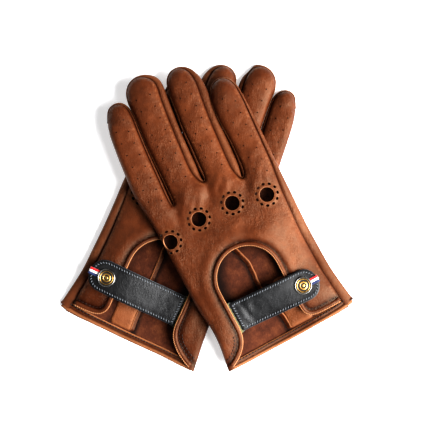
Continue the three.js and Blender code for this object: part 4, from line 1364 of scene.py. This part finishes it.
def make_snap(g):
    """The snap's cap, with plain rings on it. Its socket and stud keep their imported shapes."""
    level = float(strap_level(g, np.array([g.snap_u]))[0]) + 0.1
    rim = [(0, -0.2), (6.5, -0.2), (7.1, 0.0), (CAP_R, 0.5), (7.25, 1.1), (6.95, 1.6), (6.6, 1.85),
           (6.25, 1.8), (6.1, 1.35), (6.0, 1.25), (0, 1.25)]
    turned(g, "snap_cap_rim", rim, [NICKEL], [0] * 10, level, g.flap, ["snap_cap"], "brass")
    disc = [(6.0, 1.26), (5.5, 1.28), (5.4, 1.66), (5.2, 1.78), (4.85, 1.66), (4.8, 1.4), (3.5, 1.4),
            (3.42, 1.66), (3.2, 1.78), (2.5, 1.8), (2.3, 1.78), (2.2, 1.42), (1.4, 1.42), (1.3, 1.74),
            (1.1, 1.8), (0.6, 1.84), (0, 1.86)]
    kinds = [1, 0, 0, 0, 0, 1, 0, 0, 0, 0, 0, 1, 0, 0, 0, 0]
    turned(g, "snap_cap_disc", disc, [BRASS, ENAMEL], kinds, level, g.flap, (), "brass")
    for part in ("snap_socket", "snap_stud"):
        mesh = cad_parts[f"{g.side}_{part}"].data
        mesh.materials.clear()
        mesh.materials.append(STEEL)


def make_ribbon(g):
    """A short striped ribbon from under the cap, round the end of the strap."""
    _, (y1, _) = g.strap
    start, end = g.snap_u + 6.2, g.reach + 0.55
    flat = 0.62                       # the part of its length before it turns round the end
    path = []
    for t in np.linspace(0, 1, 15):
        a = max(0, (t - flat) / (1 - flat)) * math.pi
        u = mix(start, end - 0.5, min(t / flat, 1)) + 1.1 * math.sin(a)
        level = strap_level(g, np.array([min(u, end)]))[0] + 0.32
        path.append((u, level - 1.15 * (1 - math.cos(a))))
    widths = np.linspace(-2.85, 2.85, 10)
    rows = np.array([[(u, y1 + w, z) for w in widths] for u, z in path])
    rows[..., 2] += 0.05 * np.sin(rows[..., 0] * 2.2)
    outer = g.raise_(rows.reshape(-1, 3), False)
    index = np.arange(rows[..., 0].size).reshape(rows.shape[:2])
    tri, stripe = [], []
    for i in range(len(path) - 1):
        for j in range(len(widths) - 1):
            a, b, c, d = index[i, j], index[i + 1, j], index[i + 1, j + 1], index[i, j + 1]
            tri += [(a, b, c), (a, c, d)]
            stripe += [j // 3] * 2
    verts, faces, *_ = shell(outer, np.array(tri), 0.4)
    colours = [2 - s for s in stripe] * 2 + [1] * (len(faces) - 2 * len(tri))
    build(f"{g.side}_ribbon", g, verts, faces, colours, [RED, WHITE, NAVY], g.flap,
          [f"{g.side}_ribbon_tab"], "ribbon")


for glove in (left, right):
    make_back(glove)
    make_sides(glove)
    make_palm(glove)
    make_thumb(glove)
    make_edging(glove)
    make_hem(glove)
    make_inside(glove)
    make_strap(glove)
    make_anchor(glove)
    make_snap(glove)
    make_ribbon(glove)

# ---- floor, light, camera --------------------------------------------------------------------
FLOOR_HALF = 3
FRAME_WIDTH, FRAME_LEVEL = 0.3395, 0.015      # what the camera takes in, and at what height
LENS, SENSOR = 85, 36
mesh = bpy.data.meshes.new("floor")
corners = [(-FLOOR_HALF, -FLOOR_HALF, 0), (FLOOR_HALF, -FLOOR_HALF, 0), (FLOOR_HALF, FLOOR_HALF, 0),
           (-FLOOR_HALF, FLOOR_HALF, 0)]
mesh.from_pydata(corners, [], [(0, 1, 2, 3)])
paper = Nodes("paper")
mesh.materials.append(paper.finish(srgb(240, 240, 241), 0.9, None, Specular_IOR_Level=0.1,
                                   Emission_Color=(1, 1, 1, 1), Emission_Strength=0.31))
floor = bpy.data.objects.new("floor", mesh)
bpy.context.scene.collection.objects.link(floor)


def area_light(name, at, size, power):
    """A round white light aimed at the middle of the table."""
    light = bpy.data.lights.new(name, "AREA")
    light.shape, light.size, light.energy = "DISK", size, power
    obj = bpy.data.objects.new(name, light)
    obj.location = at
    obj.rotation_euler = (Vector((0, 0, 0)) - Vector(at)).to_track_quat("-Z", "Y").to_euler()
    bpy.context.scene.collection.objects.link(obj)


area_light("key", (1.62, -0.5, 1.22), 2.0, 166)
area_light("fill", (-0.9, 0.6, 1.3), 1.4, 5)
world = bpy.data.worlds.new("studio")
world.use_nodes = True
world.node_tree.nodes["Background"].inputs["Color"].default_value = (1, 1, 1, 1)
world.node_tree.nodes["Background"].inputs["Strength"].default_value = 0.12
bpy.context.scene.world = world
bpy.context.scene.view_settings.view_transform = "Standard"
bpy.context.scene.view_settings.look = "High Contrast"

camera = bpy.data.cameras.new("camera")
camera.lens, camera.sensor_width = LENS, SENSOR
eye = bpy.data.objects.new("camera", camera)
eye.location = (0.0029, 0.0034, FRAME_LEVEL + FRAME_WIDTH * LENS / SENSOR)
bpy.context.scene.collection.objects.link(eye)
bpy.context.scene.camera = eye
